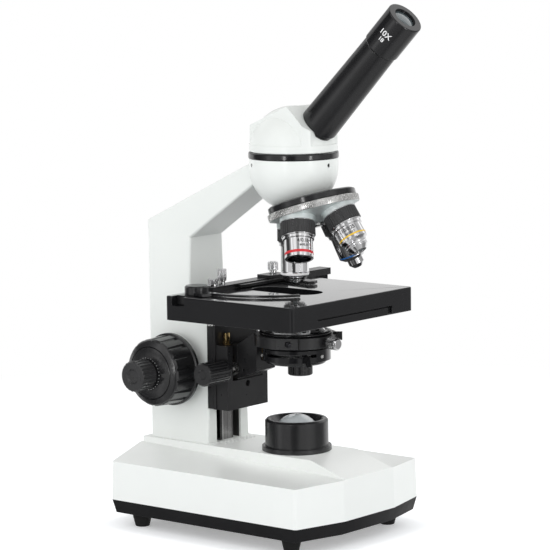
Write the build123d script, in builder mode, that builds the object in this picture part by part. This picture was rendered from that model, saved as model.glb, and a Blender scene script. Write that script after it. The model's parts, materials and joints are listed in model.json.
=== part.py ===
from build123d import *
import os
from math import acos, ceil, cos, floor, pi, radians, sin, tan

# Monocular laboratory microscope, in millimetres.
# Places are measured from the optical axis: x to the right as seen from the front,
# y to the back, towards the arm, and z up from the table.

# Base: a white casing over a black tray on four rubber feet
base_half_width = 74.0
facet_half_width = 30.0
base_front = -69.0
base_back = 134.0
facet_depth = 11.0
foot_height = 10.8
tray_height = 10.2
tray_taper = 13.5
wall_height = 29.5
wall_draft = 1.5
shell = 3.5
deck_height = 62.4
deck_half_width = 28.0
deck_front = -36.0
deck_back = 131.0
slope_back_height = 58.0
front_edge_height = 51.6
edge_round = 3.0
foot_radius = 8.0
foot_tip_radius = 5.4
foot_inset_x = 16.0
foot_inset_y = 28.0
screw_radius = 2.0
screw_head_radius = 3.6
screw_head_height = 2.4
slack = 0.05

# Arm: a cast column, bent forward to a bowl that carries the head
column_front = 67.4
column_back = 125.4
column_half_width = 24.6
arm_half_width = 19.1
arm_front = 87.1
arm_back = 131.0
shoulder_low = 160.0
shoulder_high = 179.0
outer_bend = 230.5
inner_bend = 219.0
outer_slope = 0.468
inner_slope = 0.687
arm_round = 2.0
bowl_radius = 33.4
bowl_centre = 276.5
bowl_rim = 282.8
grub_radius = 1.5
grub_height = 278.5

# Focusing: a slide on a steel rail in the column, driven by coaxial knobs
groove_half_width = 14.2
groove_floor = 106.0
groove_top = 158.0
gap = 0.3
rail_half_width = 7.7
rail_front = 69.5
rail_back = 80.0
rail_web = 4.0
slide_half_width = 24.4
slide_thickness = 5.4
slide_bottom = 90.0
slide_top = 157.0
cheek_bottom = 95.0
cheek_top = 152.0
knob_y = 96.5
knob_z = 118.7
coarse_shaft_radius = 4.0
fine_shaft_radius = 2.0
running = 0.06
bush_radius = 7.0
coarse_rim_radius = 27.8
coarse_face_radius = 24.0
coarse_inner = 31.5
coarse_outer = 60.0
coarse_groove_count = 18
fine_radius = 11.7
fine_outer = 76.6
fine_flute_count = 24

# Teeth of the racks and pinions
focus_module = 0.7
small_module = 0.5
teeth = 18
pressure_angle = 20.0
tooth_height = 0.7
tooth_gap = 0.16

# Stage: a fixed base plate, a top that moves front to back, a slide holder across it
stage_half_width = 71.8
stage_front = -56.1
stage_back = 66.5
stage_top = 182.3
stage_height = 18.2
stage_corner = 3.0
opening_length = 61.0
opening_width = 27.0
opening_y = 8.0
track_front = 48.0
track_back = 60.0
track_depth = 7.0
bed_half_width = 57.0
bed_front = -20.0
bed_back = 64.0
bed_height = 8.0
bed_hole_radius = 26.0
drive_x = 62.0
drive_shaft_radius = 1.5
drive_tube_radius = 3.0
drive_knob_radius = 9.7
drive_bottom = 106.4
drive_knob_length = 14.0
bar_left = -66.0
bar_right = 104.0
bar_rise = 3.5
bar_step = -38.0
bar_screw_y = 54.0
jaw_screw_x = 39.5
tall_post_x = -21.0
short_post_x = -31.5
jaw_thickness = 2.2
jaw_lift = 0.6
hub_x = -54.0
hub_y = 50.6
hub_radius = 9.0
hub_height = 6.5
slide_width = 26.0
slide_length = 76.0

# Bracket and condenser under the stage
bracket_half_width = 23.5
bracket_front = 47.5
bracket_bottom = 89.8
bracket_block_top = 112.0
bracket_hole_radius = 2.4
bracket_hole_drop = 3.8
cheek_width = 6.0
bracket_cheek_top = 139.3
bracket_back_front = 58.9
flange_half_width = 40.0
flange_height = 6.5
carrier_top = 139.0
carrier_front = 29.5
carrier_chin = 120.6
ring_bottom = 142.5
ring_top = 150.9
ring_radius = 31.0
ring_bore = 24.5
condenser_lens_radius = 12.0
condenser_top = 162.0
iris_radius = 26.5
drum_top = 140.9
iris_bottom = 131.6
iris_floor = 128.8
iris_slot_drop = 4.1
iris_slot_from = 163.0
iris_slot_to = 255.0
iris_lever_angle = 235.0
condenser_knob_y = 50.3
condenser_knob_z = 120.8
condenser_knob_radius = 8.9
condenser_knob_outer = 50.0
condenser_knob_inner = 25.2
condenser_shaft_radius = 2.5
rack_left = -16.0
rack_right = -11.4
condenser_rack_bottom = 100.0
condenser_rack_top = 142.0
clamp_angle = 265.0
clamp_head_radius = 4.4
clamp_neck_radius = 3.0
flat_angle = 208.0
flat_depth = 1.3
slit_angle = 223.0
slit_width = 0.5
lug_angle = 306.0
stage_screw_places = (-34, -22, 22, 34)

# Lamp, switch and power inlet
lamp_radius = 23.9
lamp_flange_radius = 26.3
lamp_flange_height = 3.6
lamp_height = 24.0
lamp_lens_radius = 15.6
lamp_lens_rise = 3.0
lamp_lens_depth = 5.9
socket_radius = 9.0
bulb_radius = 4.0
switch_x = 41.0
switch_y = 62.0
switch_length = 21.0
switch_width = 15.0
switch_sunk = 1.0
switch_rise = 1.2
switch_depth = 12.0
rocker_rise = 0.5
inlet_width = 31.0
inlet_height = 24.0
inlet_z = 36.0
inlet_lip = 2.0

# Head, tube and eyepiece
ring_outer_radius = 33.8
ring_inner_radius = 27.0
head_ring_height = 5.0
collar_radius = 33.0
collar_height = 5.8
dome_radius = 32.6
prism_half_width = 21.3
prism_back = 24.4
prism_back_height = 307.7
prism_ridge_y = -11.3
prism_ridge_height = 322.4
prism_chin = -29.0
tube_cross = 283.5
tube_tilt = 45.0
tube_base_radius = 14.6
tube_tip_radius = 13.1
tube_spigot_radius = 13.0
tube_seat = 35.5
tube_end = 117.3
eyepiece_bore = 11.66
eyepiece_radius = 13.95
eyepiece_chamfer = 0.6
eyepiece_top = 147.9
eyepiece_sleeve_radius = 11.6
eyepiece_sleeve_length = 26.0
eye_lens_radius = 8.4
eye_recess = 3.0

# Nosepiece and objectives
nose_tilt = 17.5
nose_apex = 305.0
nose_base_top = 53.8
nose_base_height = 5.0
nose_base_radius = 33.3
nose_radius = 34.1
seat_distance = 74.5
seat_rise = 3.0
seat_radius = 13.2
thread_radius = 10.16
thread_length = 4.5
light_radius = 10.0
pivot_radius = 4.0
collar_knurl_radius = 12.4
collar_knurl_length = 10.4
parfocal = 41.5
short_length = 28.0
medium_length = 33.0
barrel_radius = 10.6
nose_gap = 2.2
nose_shank_radius = 6.0
nose_bore_radius = 6.1
step_radius = 7.9

# Values worked out from the sizes above
tray_top = foot_height + tray_height
wall_top = tray_top + wall_height
stage_bottom = stage_top - stage_height
focus_pitch = focus_module * teeth / 2
small_pitch = small_module * teeth / 2
tube_sine = sin(radians(tube_tilt))
tube_cosine = cos(radians(tube_tilt))
front_reach = eyepiece_top * tube_sine + (eyepiece_radius - eyepiece_chamfer) * tube_cosine
back_reach = base_back + inlet_lip
optical_x = (fine_outer - bar_right) / 2
optical_y = (front_reach - back_reach) / 2
rack_y = knob_y - focus_pitch
slide_back = column_front - gap
slide_front = slide_back - slide_thickness
bracket_back = slide_front - gap
bed_bottom = stage_bottom + 0.4
bed_top = bed_bottom + bed_height
bar_top = stage_top + bar_rise
flange_bottom = bed_bottom - flange_height
carrier_bottom = bracket_block_top + 0.5
ring_middle = (ring_bottom + ring_top) / 2
lamp_top = deck_height + lamp_height
lamp_lens_apex = lamp_top + lamp_lens_rise
lamp_lens_base = lamp_top - lamp_lens_depth
roof_bottom = bed_top + gap
bed_rack_x = drive_x - small_pitch
bar_front = track_front + gap
bar_back = track_back - gap
bar_rack_y = bar_front + 2.5
drive_y = bar_rack_y - small_pitch
head_z = bowl_rim + head_ring_height
condenser_rack_y = condenser_knob_y + small_pitch
nose_axis = Vector(0, -sin(radians(nose_tilt)), -cos(radians(nose_tilt)))
nose_back = Vector(0, cos(radians(nose_tilt)), -sin(radians(nose_tilt)))
tube_axis = Vector(0, -tube_sine, tube_cosine)

os.makedirs("parts", exist_ok=True)


def at(x, y, z):
    """A place measured from the optical axis, as a point of the part's own frame."""
    return (optical_x + x, optical_y + y, z)


def level(z, x=0.0, y=0.0):
    """A flat plane that looks up."""
    return Plane(origin=at(x, y, z), x_dir=(1, 0, 0), z_dir=(0, 0, 1))


def side(x=0.0):
    """An upright plane seen from the right: y runs along it, z up."""
    return Plane(origin=at(x, 0, 0), x_dir=(0, 1, 0), z_dir=(1, 0, 0))


def front(y=0.0):
    """An upright plane seen from the front: x runs along it, z up."""
    return Plane(origin=at(0, y, 0), x_dir=(1, 0, 0), z_dir=(0, -1, 0))


def axis_plane(origin, direction):
    """A plane whose x axis is a turned piece's axis."""
    along = Vector(*direction)
    helper = Vector(1, 0, 0) if abs(along.X) < 0.9 else Vector(0, 0, 1)
    return Plane(origin=origin, x_dir=along, z_dir=along.cross(helper))


def turn(plane, points, mode=Mode.ADD):
    """Revolve an outline of (distance along the axis, radius) pairs about the plane's x axis."""
    with BuildSketch(plane) as outline:
        with BuildLine():
            Polyline(*points, close=True)
        make_face()
    revolve(outline.sketch, axis=Axis(plane.origin, plane.x_dir), mode=mode)


def rod(origin, direction, start, stop, radius, mode=Mode.ADD):
    """A straight round bar, or a hole, along a direction."""
    turn(axis_plane(origin, direction), [(start, 0), (stop, 0), (stop, radius), (start, radius)], mode)


def block(x, y, z, mode=Mode.ADD):
    """A box from its (low, high) limits on each axis."""
    middle = at((x[0] + x[1]) / 2, (y[0] + y[1]) / 2, (z[0] + z[1]) / 2)
    with Locations(middle):
        Box(x[1] - x[0], y[1] - y[0], z[1] - z[0], mode=mode)


def flutes(origin, direction, start, stop, count, pitch_radius, flute_radius):
    """Cut even round flutes along a turned piece."""
    plane = Plane(origin=origin, z_dir=direction)
    with BuildSketch(plane.offset(start)) as ring:
        with PolarLocations(pitch_radius, count):
            Circle(flute_radius)
    extrude(ring.sketch, amount=stop - start, mode=Mode.SUBTRACT)


def base_outline(inset=0.0):
    """The base seen from above: a long octagon with shallow end facets."""
    half = base_half_width - inset
    facet = facet_half_width
    near = base_front + inset
    far = base_back - inset
    Polyline(
        (-facet, near), (facet, near), (half, near + facet_depth), (half, far - facet_depth),
        (facet, far), (-facet, far), (-half, far - facet_depth), (-half, near + facet_depth), close=True,
    )


def involute_flank(pitch_radius, radius):
    """Half the angle of a tooth at a radius, on an involute flank with the tooth gap taken off."""
    base = pitch_radius * cos(radians(pressure_angle))
    def involute(r):
        angle = acos(min(1.0, base / r))
        return tan(angle) - angle
    half_at_pitch = pi / (2 * teeth) - tooth_gap / (2 * pitch_radius)
    return half_at_pitch + involute(pitch_radius) - involute(max(radius, base))


def pinion_points(module, lead):
    """The closed outline of a pinion whose first tooth points along the lead angle, in radians."""
    pitch_radius = module * teeth / 2
    tip = pitch_radius + tooth_height * module
    root = pitch_radius - (tooth_height + 0.35) * module
    radii = [root, pitch_radius - 0.4 * module, pitch_radius + 0.2 * module, tip]
    points = []
    for tooth in range(teeth):
        middle = lead + 2 * pi * tooth / teeth
        for radius in radii:
            angle = middle - involute_flank(pitch_radius, radius)
            points.append((radius * cos(angle), radius * sin(angle)))
        for radius in reversed(radii):
            angle = middle + involute_flank(pitch_radius, radius)
            points.append((radius * cos(angle), radius * sin(angle)))
    return points


def rack_points(module, low, high, back):
    """A rack outline: teeth towards +y on the pitch line y = 0, a gap centred at 0 along x."""
    pitch = pi * module
    slope = tan(radians(pressure_angle))
    tip = tooth_height * module
    root = (tooth_height + 0.35) * module
    half_gap = pitch / 4 + tooth_gap / 2
    first = ceil(low / pitch) + 1
    last = floor(high / pitch)
    points = [(low, back), (low, -root)]
    for index in range(first, last + 1):
        middle = index * pitch - pitch / 2
        points.append((middle - (pitch / 2 - half_gap) - root * slope, -root))
        points.append((middle - (pitch / 2 - half_gap) + tip * slope, tip))
        points.append((middle + (pitch / 2 - half_gap) - tip * slope, tip))
        points.append((middle + (pitch / 2 - half_gap) + root * slope, -root))
    points += [(high, -root), (high, back)]
    return points


def deck_edge(y):
    """The height where a side slope meets the deck."""
    share = (y - base_front) / (base_back - base_front)
    return front_edge_height + (slope_back_height - front_edge_height) * share


def slope_height(x, y):
    """The height of a side slope."""
    share = (x - deck_half_width) / (base_half_width - deck_half_width)
    return deck_edge(y) + (wall_top - deck_edge(y)) * share


slope_x = Vector(1, 0, slope_height(switch_x + 1, switch_y) - slope_height(switch_x, switch_y))
slope_y = Vector(0, 1, slope_height(switch_x, switch_y + 1) - slope_height(switch_x, switch_y))
switch_plane = Plane(origin=at(switch_x, switch_y, slope_height(switch_x, switch_y)),
                     x_dir=slope_x, z_dir=slope_x.cross(slope_y))

# Base casing: drafted walls, twisted side slopes and a raised deck
with BuildPart() as base_casing:
    with BuildSketch(front(base_back)) as slope_back:
        with BuildLine():
            Polyline(
                (-base_half_width, tray_top), (base_half_width, tray_top), (base_half_width, wall_top),
                (deck_half_width, slope_back_height), (-deck_half_width, slope_back_height),
                (-base_half_width, wall_top), close=True,
            )
        make_face()
    with BuildSketch(front(base_front)) as slope_front:
        with BuildLine():
            Polyline(
                (-base_half_width, tray_top), (base_half_width, tray_top), (base_half_width, wall_top),
                (deck_half_width, front_edge_height), (-deck_half_width, front_edge_height),
                (-base_half_width, wall_top), close=True,
            )
        make_face()
    loft(ruled=True)
    with BuildSketch(side(-deck_half_width)):
        with BuildLine():
            Polyline(
                (base_front, tray_top), (deck_back, tray_top), (deck_back, deck_height),
                (deck_front, deck_height), (base_front, front_edge_height), close=True,
            )
        make_face()
    extrude(amount=2 * deck_half_width)
    with BuildSketch(level(tray_top)):
        with BuildLine():
            base_outline()
        make_face()
    extrude(amount=deck_height - tray_top + 1, taper=wall_draft, mode=Mode.INTERSECT)
    fillet(base_casing.edges().filter_by(lambda edge: edge.length > wall_height - 4
           and abs(edge.tangent_at(0.5).Z) > 0.9), edge_round)
    with BuildSketch(level(tray_top)):
        with BuildLine():
            base_outline(shell)
        make_face()
    extrude(amount=wall_height - shell - 1, taper=wall_draft, mode=Mode.SUBTRACT)
    block((-deck_half_width + shell, deck_half_width - shell), (deck_front + shell, column_front - 8),
          (wall_top - shell - 2, deck_height - shell), Mode.SUBTRACT)
    for foot_x in (-1, 1):
        for foot_y in (base_front + foot_inset_y, base_back - foot_inset_y):
            boss = at(foot_x * (base_half_width - foot_inset_x), foot_y, 0)
            rod(boss, (0, 0, 1), tray_top, wall_top - 1, screw_head_radius + 2)
            rod(boss, (0, 0, 1), tray_top, tray_top + 16, screw_radius + slack, Mode.SUBTRACT)
    rod(at(0, 0, 0), (0, 0, 1), wall_top - shell - 3, deck_height + 1, socket_radius + 1, Mode.SUBTRACT)
    block((-inlet_width / 2 + 2, inlet_width / 2 - 2), (base_back - 12, base_back + 2),
          (inlet_z - inlet_height / 2 + 2, inlet_z + inlet_height / 2 - 2), Mode.SUBTRACT)
    with BuildSketch(switch_plane.offset(-switch_sunk)):
        Rectangle(switch_width + 0.2, switch_length + 0.2)
    extrude(amount=4, mode=Mode.SUBTRACT)
    with BuildSketch(switch_plane.offset(-switch_depth)):
        Rectangle(switch_width - 1.2, switch_length - 0.8)
    extrude(amount=switch_depth + 2, mode=Mode.SUBTRACT)
base_casing.part.label = "base_casing"
export_step(base_casing.part, "parts/base_casing.step")

# Base tray: the black underside, tapered in to its floor
with BuildPart() as base_tray:
    with BuildSketch(level(tray_top)):
        with BuildLine():
            base_outline(0.4)
        make_face()
    extrude(amount=-tray_height, taper=tray_taper)
    with BuildSketch(level(tray_top)):
        with BuildLine():
            base_outline(shell + 0.4)
        make_face()
    extrude(amount=-(tray_height - shell), taper=tray_taper, mode=Mode.SUBTRACT)
    for foot_x in (-1, 1):
        for foot_y in (base_front + foot_inset_y, base_back - foot_inset_y):
            boss = at(foot_x * (base_half_width - foot_inset_x), foot_y, 0)
            rod(boss, (0, 0, 1), foot_height, tray_top, screw_head_radius + 2)
            rod(boss, (0, 0, 1), foot_height - 1, tray_top + 1, screw_radius + slack, Mode.SUBTRACT)
base_tray.part.label = "base_tray"
export_step(base_tray.part, "parts/base_tray.step")

# Rubber feet: four tapered rounds, each with a recess for its screw
with BuildPart() as rubber_feet:
    for foot_x in (-1, 1):
        for foot_y in (base_front + foot_inset_y, base_back - foot_inset_y):
            foot = axis_plane(at(foot_x * (base_half_width - foot_inset_x), foot_y, 0), (0, 0, 1))
            turn(foot, [
                (0, screw_head_radius + 0.4), (0, foot_tip_radius), (foot_height - 1.5, foot_radius - 0.4),
                (foot_height, foot_radius), (foot_height, screw_radius + slack),
                (screw_head_height + 1.6, screw_radius + slack),
                (screw_head_height + 1.6, screw_head_radius + 0.4),
            ])
rubber_feet.part.label = "rubber_feet"
export_step(rubber_feet.part, "parts/rubber_feet.step")

# Foot screws: from each foot through the tray into the casing
with BuildPart() as foot_screws:
    for foot_x in (-1, 1):
        for foot_y in (base_front + foot_inset_y, base_back - foot_inset_y):
            foot = at(foot_x * (base_half_width - foot_inset_x), foot_y, 0)
            rod(foot, (0, 0, 1), 1.6, 1.6 + screw_head_height, screw_head_radius)
            rod(foot, (0, 0, 1), 1.6 + screw_head_height, tray_top + 14, screw_radius)
foot_screws.part.label = "foot_screws"
export_step(foot_screws.part, "parts/foot_screws.step")


def column_half(z):
    """Half the width of the drafted column at a height."""
    share = (z - deck_height) / (inner_bend - deck_height)
    return column_half_width + (arm_half_width - column_half_width) * share


def pinion(plane, module, lead, thickness):
    """A toothed wheel on a plane, its first tooth along the lead angle."""
    with BuildSketch(plane) as outline:
        with BuildLine():
            Polyline(*pinion_points(module, lead), close=True)
        make_face()
    extrude(outline.sketch, amount=thickness)


def rack(plane, module, low, high, back, thickness):
    """A straight rack on a plane, with its teeth towards the plane's y axis."""
    with BuildSketch(plane) as outline:
        with BuildLine():
            Polyline(*rack_points(module, low, high, back), close=True)
        make_face()
    extrude(outline.sketch, amount=thickness)


def nose_point(distance):
    """A point on the nosepiece axis, at a distance from the point where the objectives' axes meet."""
    return Vector(*at(0, 0, nose_apex)) + nose_axis * distance


def objective_axis(turned):
    """The direction of an objective, turned about the nosepiece axis from the one in use."""
    spread = nose_back * cos(radians(turned)) + Vector(1, 0, 0) * sin(radians(turned))
    return nose_axis * cos(radians(nose_tilt)) + spread * sin(radians(nose_tilt))


def objective_plane(turned):
    """The plane of a turned objective: its x axis starts at the objective's shoulder."""
    direction = objective_axis(turned)
    return axis_plane(Vector(*at(0, 0, nose_apex)) + direction * seat_distance, direction)


# Arm: one casting, from the column's foot to the bowl under the head
with BuildPart() as arm:
    with BuildSketch(side(-column_half_width)):
        with BuildLine():
            Polyline(
                (column_front, deck_height), (column_back, deck_height), (arm_back, outer_bend),
                (20, outer_bend + (arm_back - 20) * outer_slope),
                (12, inner_bend + (arm_front - 12) * inner_slope), (arm_front, inner_bend),
                (arm_front, shoulder_high), (column_front, shoulder_low), close=True,
            )
        make_face()
    extrude(amount=2 * column_half_width)
    with BuildSketch(front(base_back)):
        with BuildLine():
            Polyline(
                (-column_half_width, deck_height), (column_half_width, deck_height),
                (arm_half_width, inner_bend), (arm_half_width, bowl_rim + 20),
                (-arm_half_width, bowl_rim + 20), (-arm_half_width, inner_bend), close=True,
            )
        make_face()
    extrude(amount=base_back, mode=Mode.INTERSECT)
    fillet(arm.edges().filter_by(lambda edge: edge.length > 15 and abs(edge.tangent_at(0.5).X) < 0.5
           and edge.center().Z > deck_height + 1), arm_round)
    with BuildSketch(side()) as bowl:
        with BuildLine():
            Line((0, bowl_centre - bowl_radius), (0, bowl_rim))
            Line((0, bowl_rim), (bowl_radius, bowl_rim))
            Line((bowl_radius, bowl_rim), (bowl_radius, bowl_centre))
            RadiusArc((bowl_radius, bowl_centre), (0, bowl_centre - bowl_radius), bowl_radius)
        make_face()
    revolve(axis=Axis(at(0, 0, 0), (0, 0, 1)))
    with BuildSketch(Plane(origin=nose_point(nose_base_top), x_dir=(1, 0, 0), z_dir=nose_axis)):
        Rectangle(3 * bowl_radius, 3 * bowl_radius)
    extrude(amount=bowl_radius, mode=Mode.SUBTRACT)
    rod(at(0, 0, 0), (0, 0, 1), bowl_centre - bowl_radius, bowl_rim + 1, light_radius + 2, Mode.SUBTRACT)
    rod(at(0, 0, 0), (0, 0, 1), bowl_rim - 8, bowl_rim + 1, ring_inner_radius + 0.2, Mode.SUBTRACT)
    for angle in (30, 150, 270):
        spoke = (cos(radians(angle)), sin(radians(angle)), 0)
        rod(at(0, 0, grub_height), spoke, bowl_radius - 8, bowl_radius + 1, grub_radius + slack,
            Mode.SUBTRACT)
    block((-groove_half_width, groove_half_width), (column_front - 1, groove_floor),
          (deck_height - 1, groove_top), Mode.SUBTRACT)
    rod(at(0, knob_y, knob_z), (1, 0, 0), -column_half_width - 1, column_half_width + 1,
        bush_radius + slack, Mode.SUBTRACT)
arm.part.label = "arm"
export_step(arm.part, "parts/arm.step")

# Grub screws: three, around the bowl under the head's ring
with BuildPart() as grub_screws:
    for angle in (30, 150, 270):
        spoke = (cos(radians(angle)), sin(radians(angle)), 0)
        rod(at(0, 0, grub_height), spoke, bowl_radius - 6, bowl_radius - 0.8, grub_radius)
grub_screws.part.label = "grub_screws"
export_step(grub_screws.part, "parts/grub_screws.step")

# Guide rail: the steel bar in the column's groove
with BuildPart() as guide_rail:
    block((-rail_half_width, rail_half_width), (rail_front, rail_back), (deck_height, groove_top))
    block((-rail_web, rail_web), (rail_back, groove_floor), (deck_height, groove_top))
    rod(at(0, knob_y, knob_z), (1, 0, 0), -rail_web - 1, rail_web + 1,
        coarse_shaft_radius + 2 * gap, Mode.SUBTRACT)
guide_rail.part.label = "guide_rail"
export_step(guide_rail.part, "parts/guide_rail.step")

# Shaft bushes: a pair, in the column's two walls
with BuildPart() as shaft_bushes:
    for way in (-1, 1):
        bush = axis_plane(at(0, knob_y, knob_z), (way, 0, 0))
        turn(bush, [
            (groove_half_width, coarse_shaft_radius + running),
            (column_half(knob_z), coarse_shaft_radius + running),
            (column_half(knob_z), bush_radius), (groove_half_width, bush_radius),
        ])
shaft_bushes.part.label = "shaft_bushes"
export_step(shaft_bushes.part, "parts/shaft_bushes.step")

# Coarse shaft: a hollow shaft with the focusing pinion
pinion_left = rail_half_width + gap + 0.4
pinion_width = groove_half_width - rail_half_width - 2 * gap - 0.8
with BuildPart() as coarse_shaft:
    rod(at(0, knob_y, knob_z), (1, 0, 0), -coarse_outer + 4, coarse_outer - 4, coarse_shaft_radius)
    pinion(Plane(origin=at(pinion_left, knob_y, knob_z), x_dir=(0, 1, 0), z_dir=(1, 0, 0)),
           focus_module, pi, pinion_width)
    rod(at(0, knob_y, knob_z), (1, 0, 0), -coarse_outer, coarse_outer, fine_shaft_radius + running,
        Mode.SUBTRACT)
coarse_shaft.part.label = "coarse_shaft"
export_step(coarse_shaft.part, "parts/coarse_shaft.step")

# Fine shaft: through the coarse one, from knob to knob
with BuildPart() as fine_shaft:
    rod(at(0, knob_y, knob_z), (1, 0, 0), -fine_outer + 4, fine_outer - 4, fine_shaft_radius)
fine_shaft.part.label = "fine_shaft"
export_step(fine_shaft.part, "parts/fine_shaft.step")


def coarse_knob(way):
    """A coarse knob: a hub, a wide rim, a grooved barrel and a stepped conical face."""
    centre = at(0, knob_y, knob_z)
    bore = coarse_shaft_radius + slack
    hub = column_half(knob_z) + 1
    turn(axis_plane(centre, (way, 0, 0)), [
        (hub, bore), (hub, fine_radius - 2), (coarse_inner, fine_radius - 2),
        (coarse_inner, coarse_rim_radius), (coarse_inner + 2.4, coarse_rim_radius),
        (coarse_inner + 3, coarse_rim_radius - 1.2), (coarse_outer - 7, coarse_face_radius + 1.6),
        (coarse_outer - 5, coarse_face_radius), (coarse_outer - 3.4, coarse_face_radius - 3.6),
        (coarse_outer - 4.2, coarse_face_radius - 4), (coarse_outer - 3.2, coarse_face_radius - 4.5),
        (coarse_outer - 0.6, fine_radius + 0.8), (coarse_outer - 0.6, bore),
    ])
    flutes(centre, (way, 0, 0), coarse_inner + 4, coarse_outer, coarse_groove_count,
        coarse_face_radius + 2.8, 1.9)


def fine_knob(way):
    """A fine knob: a fluted round with a dished end."""
    centre = at(0, knob_y, knob_z)
    bore = fine_shaft_radius + slack
    depth = fine_outer - 4 + slack
    turn(axis_plane(centre, (way, 0, 0)), [
        (coarse_outer, bore), (coarse_outer, fine_radius - 2), (coarse_outer + 2, fine_radius - 2),
        (coarse_outer + 2.6, fine_radius), (fine_outer - 1, fine_radius), (fine_outer, fine_radius - 1),
        (fine_outer, fine_radius / 2), (fine_outer - 1.4, fine_radius / 2 - 1), (fine_outer - 1.4, 0),
        (depth, 0), (depth, bore),
    ])
    flutes(centre, (way, 0, 0), coarse_outer + 2, fine_outer + 1, fine_flute_count, fine_radius + 0.2, 0.9)


with BuildPart() as coarse_knob_left:
    coarse_knob(-1)
coarse_knob_left.part.label = "coarse_knob_left"
export_step(coarse_knob_left.part, "parts/coarse_knob_left.step")

with BuildPart() as coarse_knob_right:
    coarse_knob(1)
coarse_knob_right.part.label = "coarse_knob_right"
export_step(coarse_knob_right.part, "parts/coarse_knob_right.step")

with BuildPart() as fine_knob_left:
    fine_knob(-1)
fine_knob_left.part.label = "fine_knob_left"
export_step(fine_knob_left.part, "parts/fine_knob_left.step")

with BuildPart() as fine_knob_right:
    fine_knob(1)
fine_knob_right.part.label = "fine_knob_right"
export_step(fine_knob_right.part, "parts/fine_knob_right.step")

# Focus slide: a plate with two cheeks around the rail, the right one cut as a rack
tongue_half_width = 6.0
tongue_depth = 3.0
with BuildPart() as focus_slide:
    block((-slide_half_width, slide_half_width), (slide_front, slide_back), (slide_bottom, slide_top))
    block((-groove_half_width + gap, -rail_half_width - gap), (slide_back, rack_y - 1.5),
        (cheek_bottom, cheek_top))
    rack(Plane(origin=at(groove_half_width - gap, rack_y, knob_z), x_dir=(0, 0, 1), z_dir=(-1, 0, 0)),
         focus_module, cheek_bottom - knob_z, cheek_top - knob_z, slide_back - rack_y,
         groove_half_width - rail_half_width - 2 * gap)
    block((-tongue_half_width, tongue_half_width), (slide_front, slide_front + tongue_depth),
          (slide_bottom, slide_top), Mode.SUBTRACT)
focus_slide.part.label = "focus_slide"
export_step(focus_slide.part, "parts/focus_slide.step")

condenser_pivot = at(0, condenser_knob_y, condenser_knob_z)

# Stage bracket: slides finely on the focus slide and carries the stage and the condenser
with BuildPart() as stage_bracket:
    block((-slide_half_width, slide_half_width), (bracket_back_front, bracket_back),
        (bracket_bottom, flange_bottom))
    block((-tongue_half_width + gap, tongue_half_width - gap), (bracket_back, bracket_back + tongue_depth),
          (slide_bottom + 4, slide_top))
    block((-bracket_half_width, bracket_half_width), (bracket_front, bracket_back),
        (bracket_bottom, bracket_block_top))
    for way in (-1, 1):
        inner = way * (bracket_half_width - cheek_width)
        outer = way * bracket_half_width
        block((min(inner, outer), max(inner, outer)), (bracket_front, bracket_back),
              (bracket_block_top, bracket_cheek_top))
    block((-flange_half_width, flange_half_width), (bracket_front + 1, bracket_back),
        (flange_bottom, bed_bottom))
    rod(at(0, bracket_front, bracket_block_top - bracket_hole_drop), (0, 1, 0), -1, 6,
        bracket_hole_radius, Mode.SUBTRACT)
    block((rack_left - 0.4, rack_right + 0.4), (condenser_rack_y - 1.2, bracket_back_front),
          (bracket_bottom - 1, bracket_block_top + 1), Mode.SUBTRACT)
    rod(condenser_pivot, (1, 0, 0), -bracket_half_width - 1, rack_right,
        condenser_shaft_radius + running, Mode.SUBTRACT)
    for screw_x in stage_screw_places:
        rod(at(screw_x, bracket_front + 7, 0), (0, 0, 1), flange_bottom - 1, bed_bottom + 1,
            drive_shaft_radius + slack, Mode.SUBTRACT)
stage_bracket.part.label = "stage_bracket"
export_step(stage_bracket.part, "parts/stage_bracket.step")

# Stage bed: the fixed plate under the stage, with a rack along its right edge
with BuildPart() as stage_bed:
    block((-bed_half_width, bed_rack_x - 1.5), (bed_front, bed_back), (bed_bottom, bed_top))
    rack(Plane(origin=at(bed_rack_x, drive_y, bed_top), x_dir=(0, 1, 0), z_dir=(0, 0, -1)),
         small_module, bed_front + 20 - drive_y, bed_back - 6 - drive_y, -2, bed_height)
    rod(at(0, 0, 0), (0, 0, 1), bed_bottom - 1, bed_top + 1, bed_hole_radius, Mode.SUBTRACT)
    for screw_x in stage_screw_places:
        rod(at(screw_x, bracket_front + 7, 0), (0, 0, 1), bed_bottom - 1, bed_bottom + 6,
            drive_shaft_radius + slack, Mode.SUBTRACT)
stage_bed.part.label = "stage_bed"
export_step(stage_bed.part, "parts/stage_bed.step")

# Stage screws: four, from the bracket's flange up into the bed
with BuildPart() as stage_screws:
    for screw_x in stage_screw_places:
        foot = at(screw_x, bracket_front + 7, 0)
        rod(foot, (0, 0, 1), flange_bottom - 2, flange_bottom, screw_head_radius - 0.6)
        rod(foot, (0, 0, 1), flange_bottom, bed_bottom + 5, drive_shaft_radius)
stage_screws.part.label = "stage_screws"
export_step(stage_screws.part, "parts/stage_screws.step")

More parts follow.
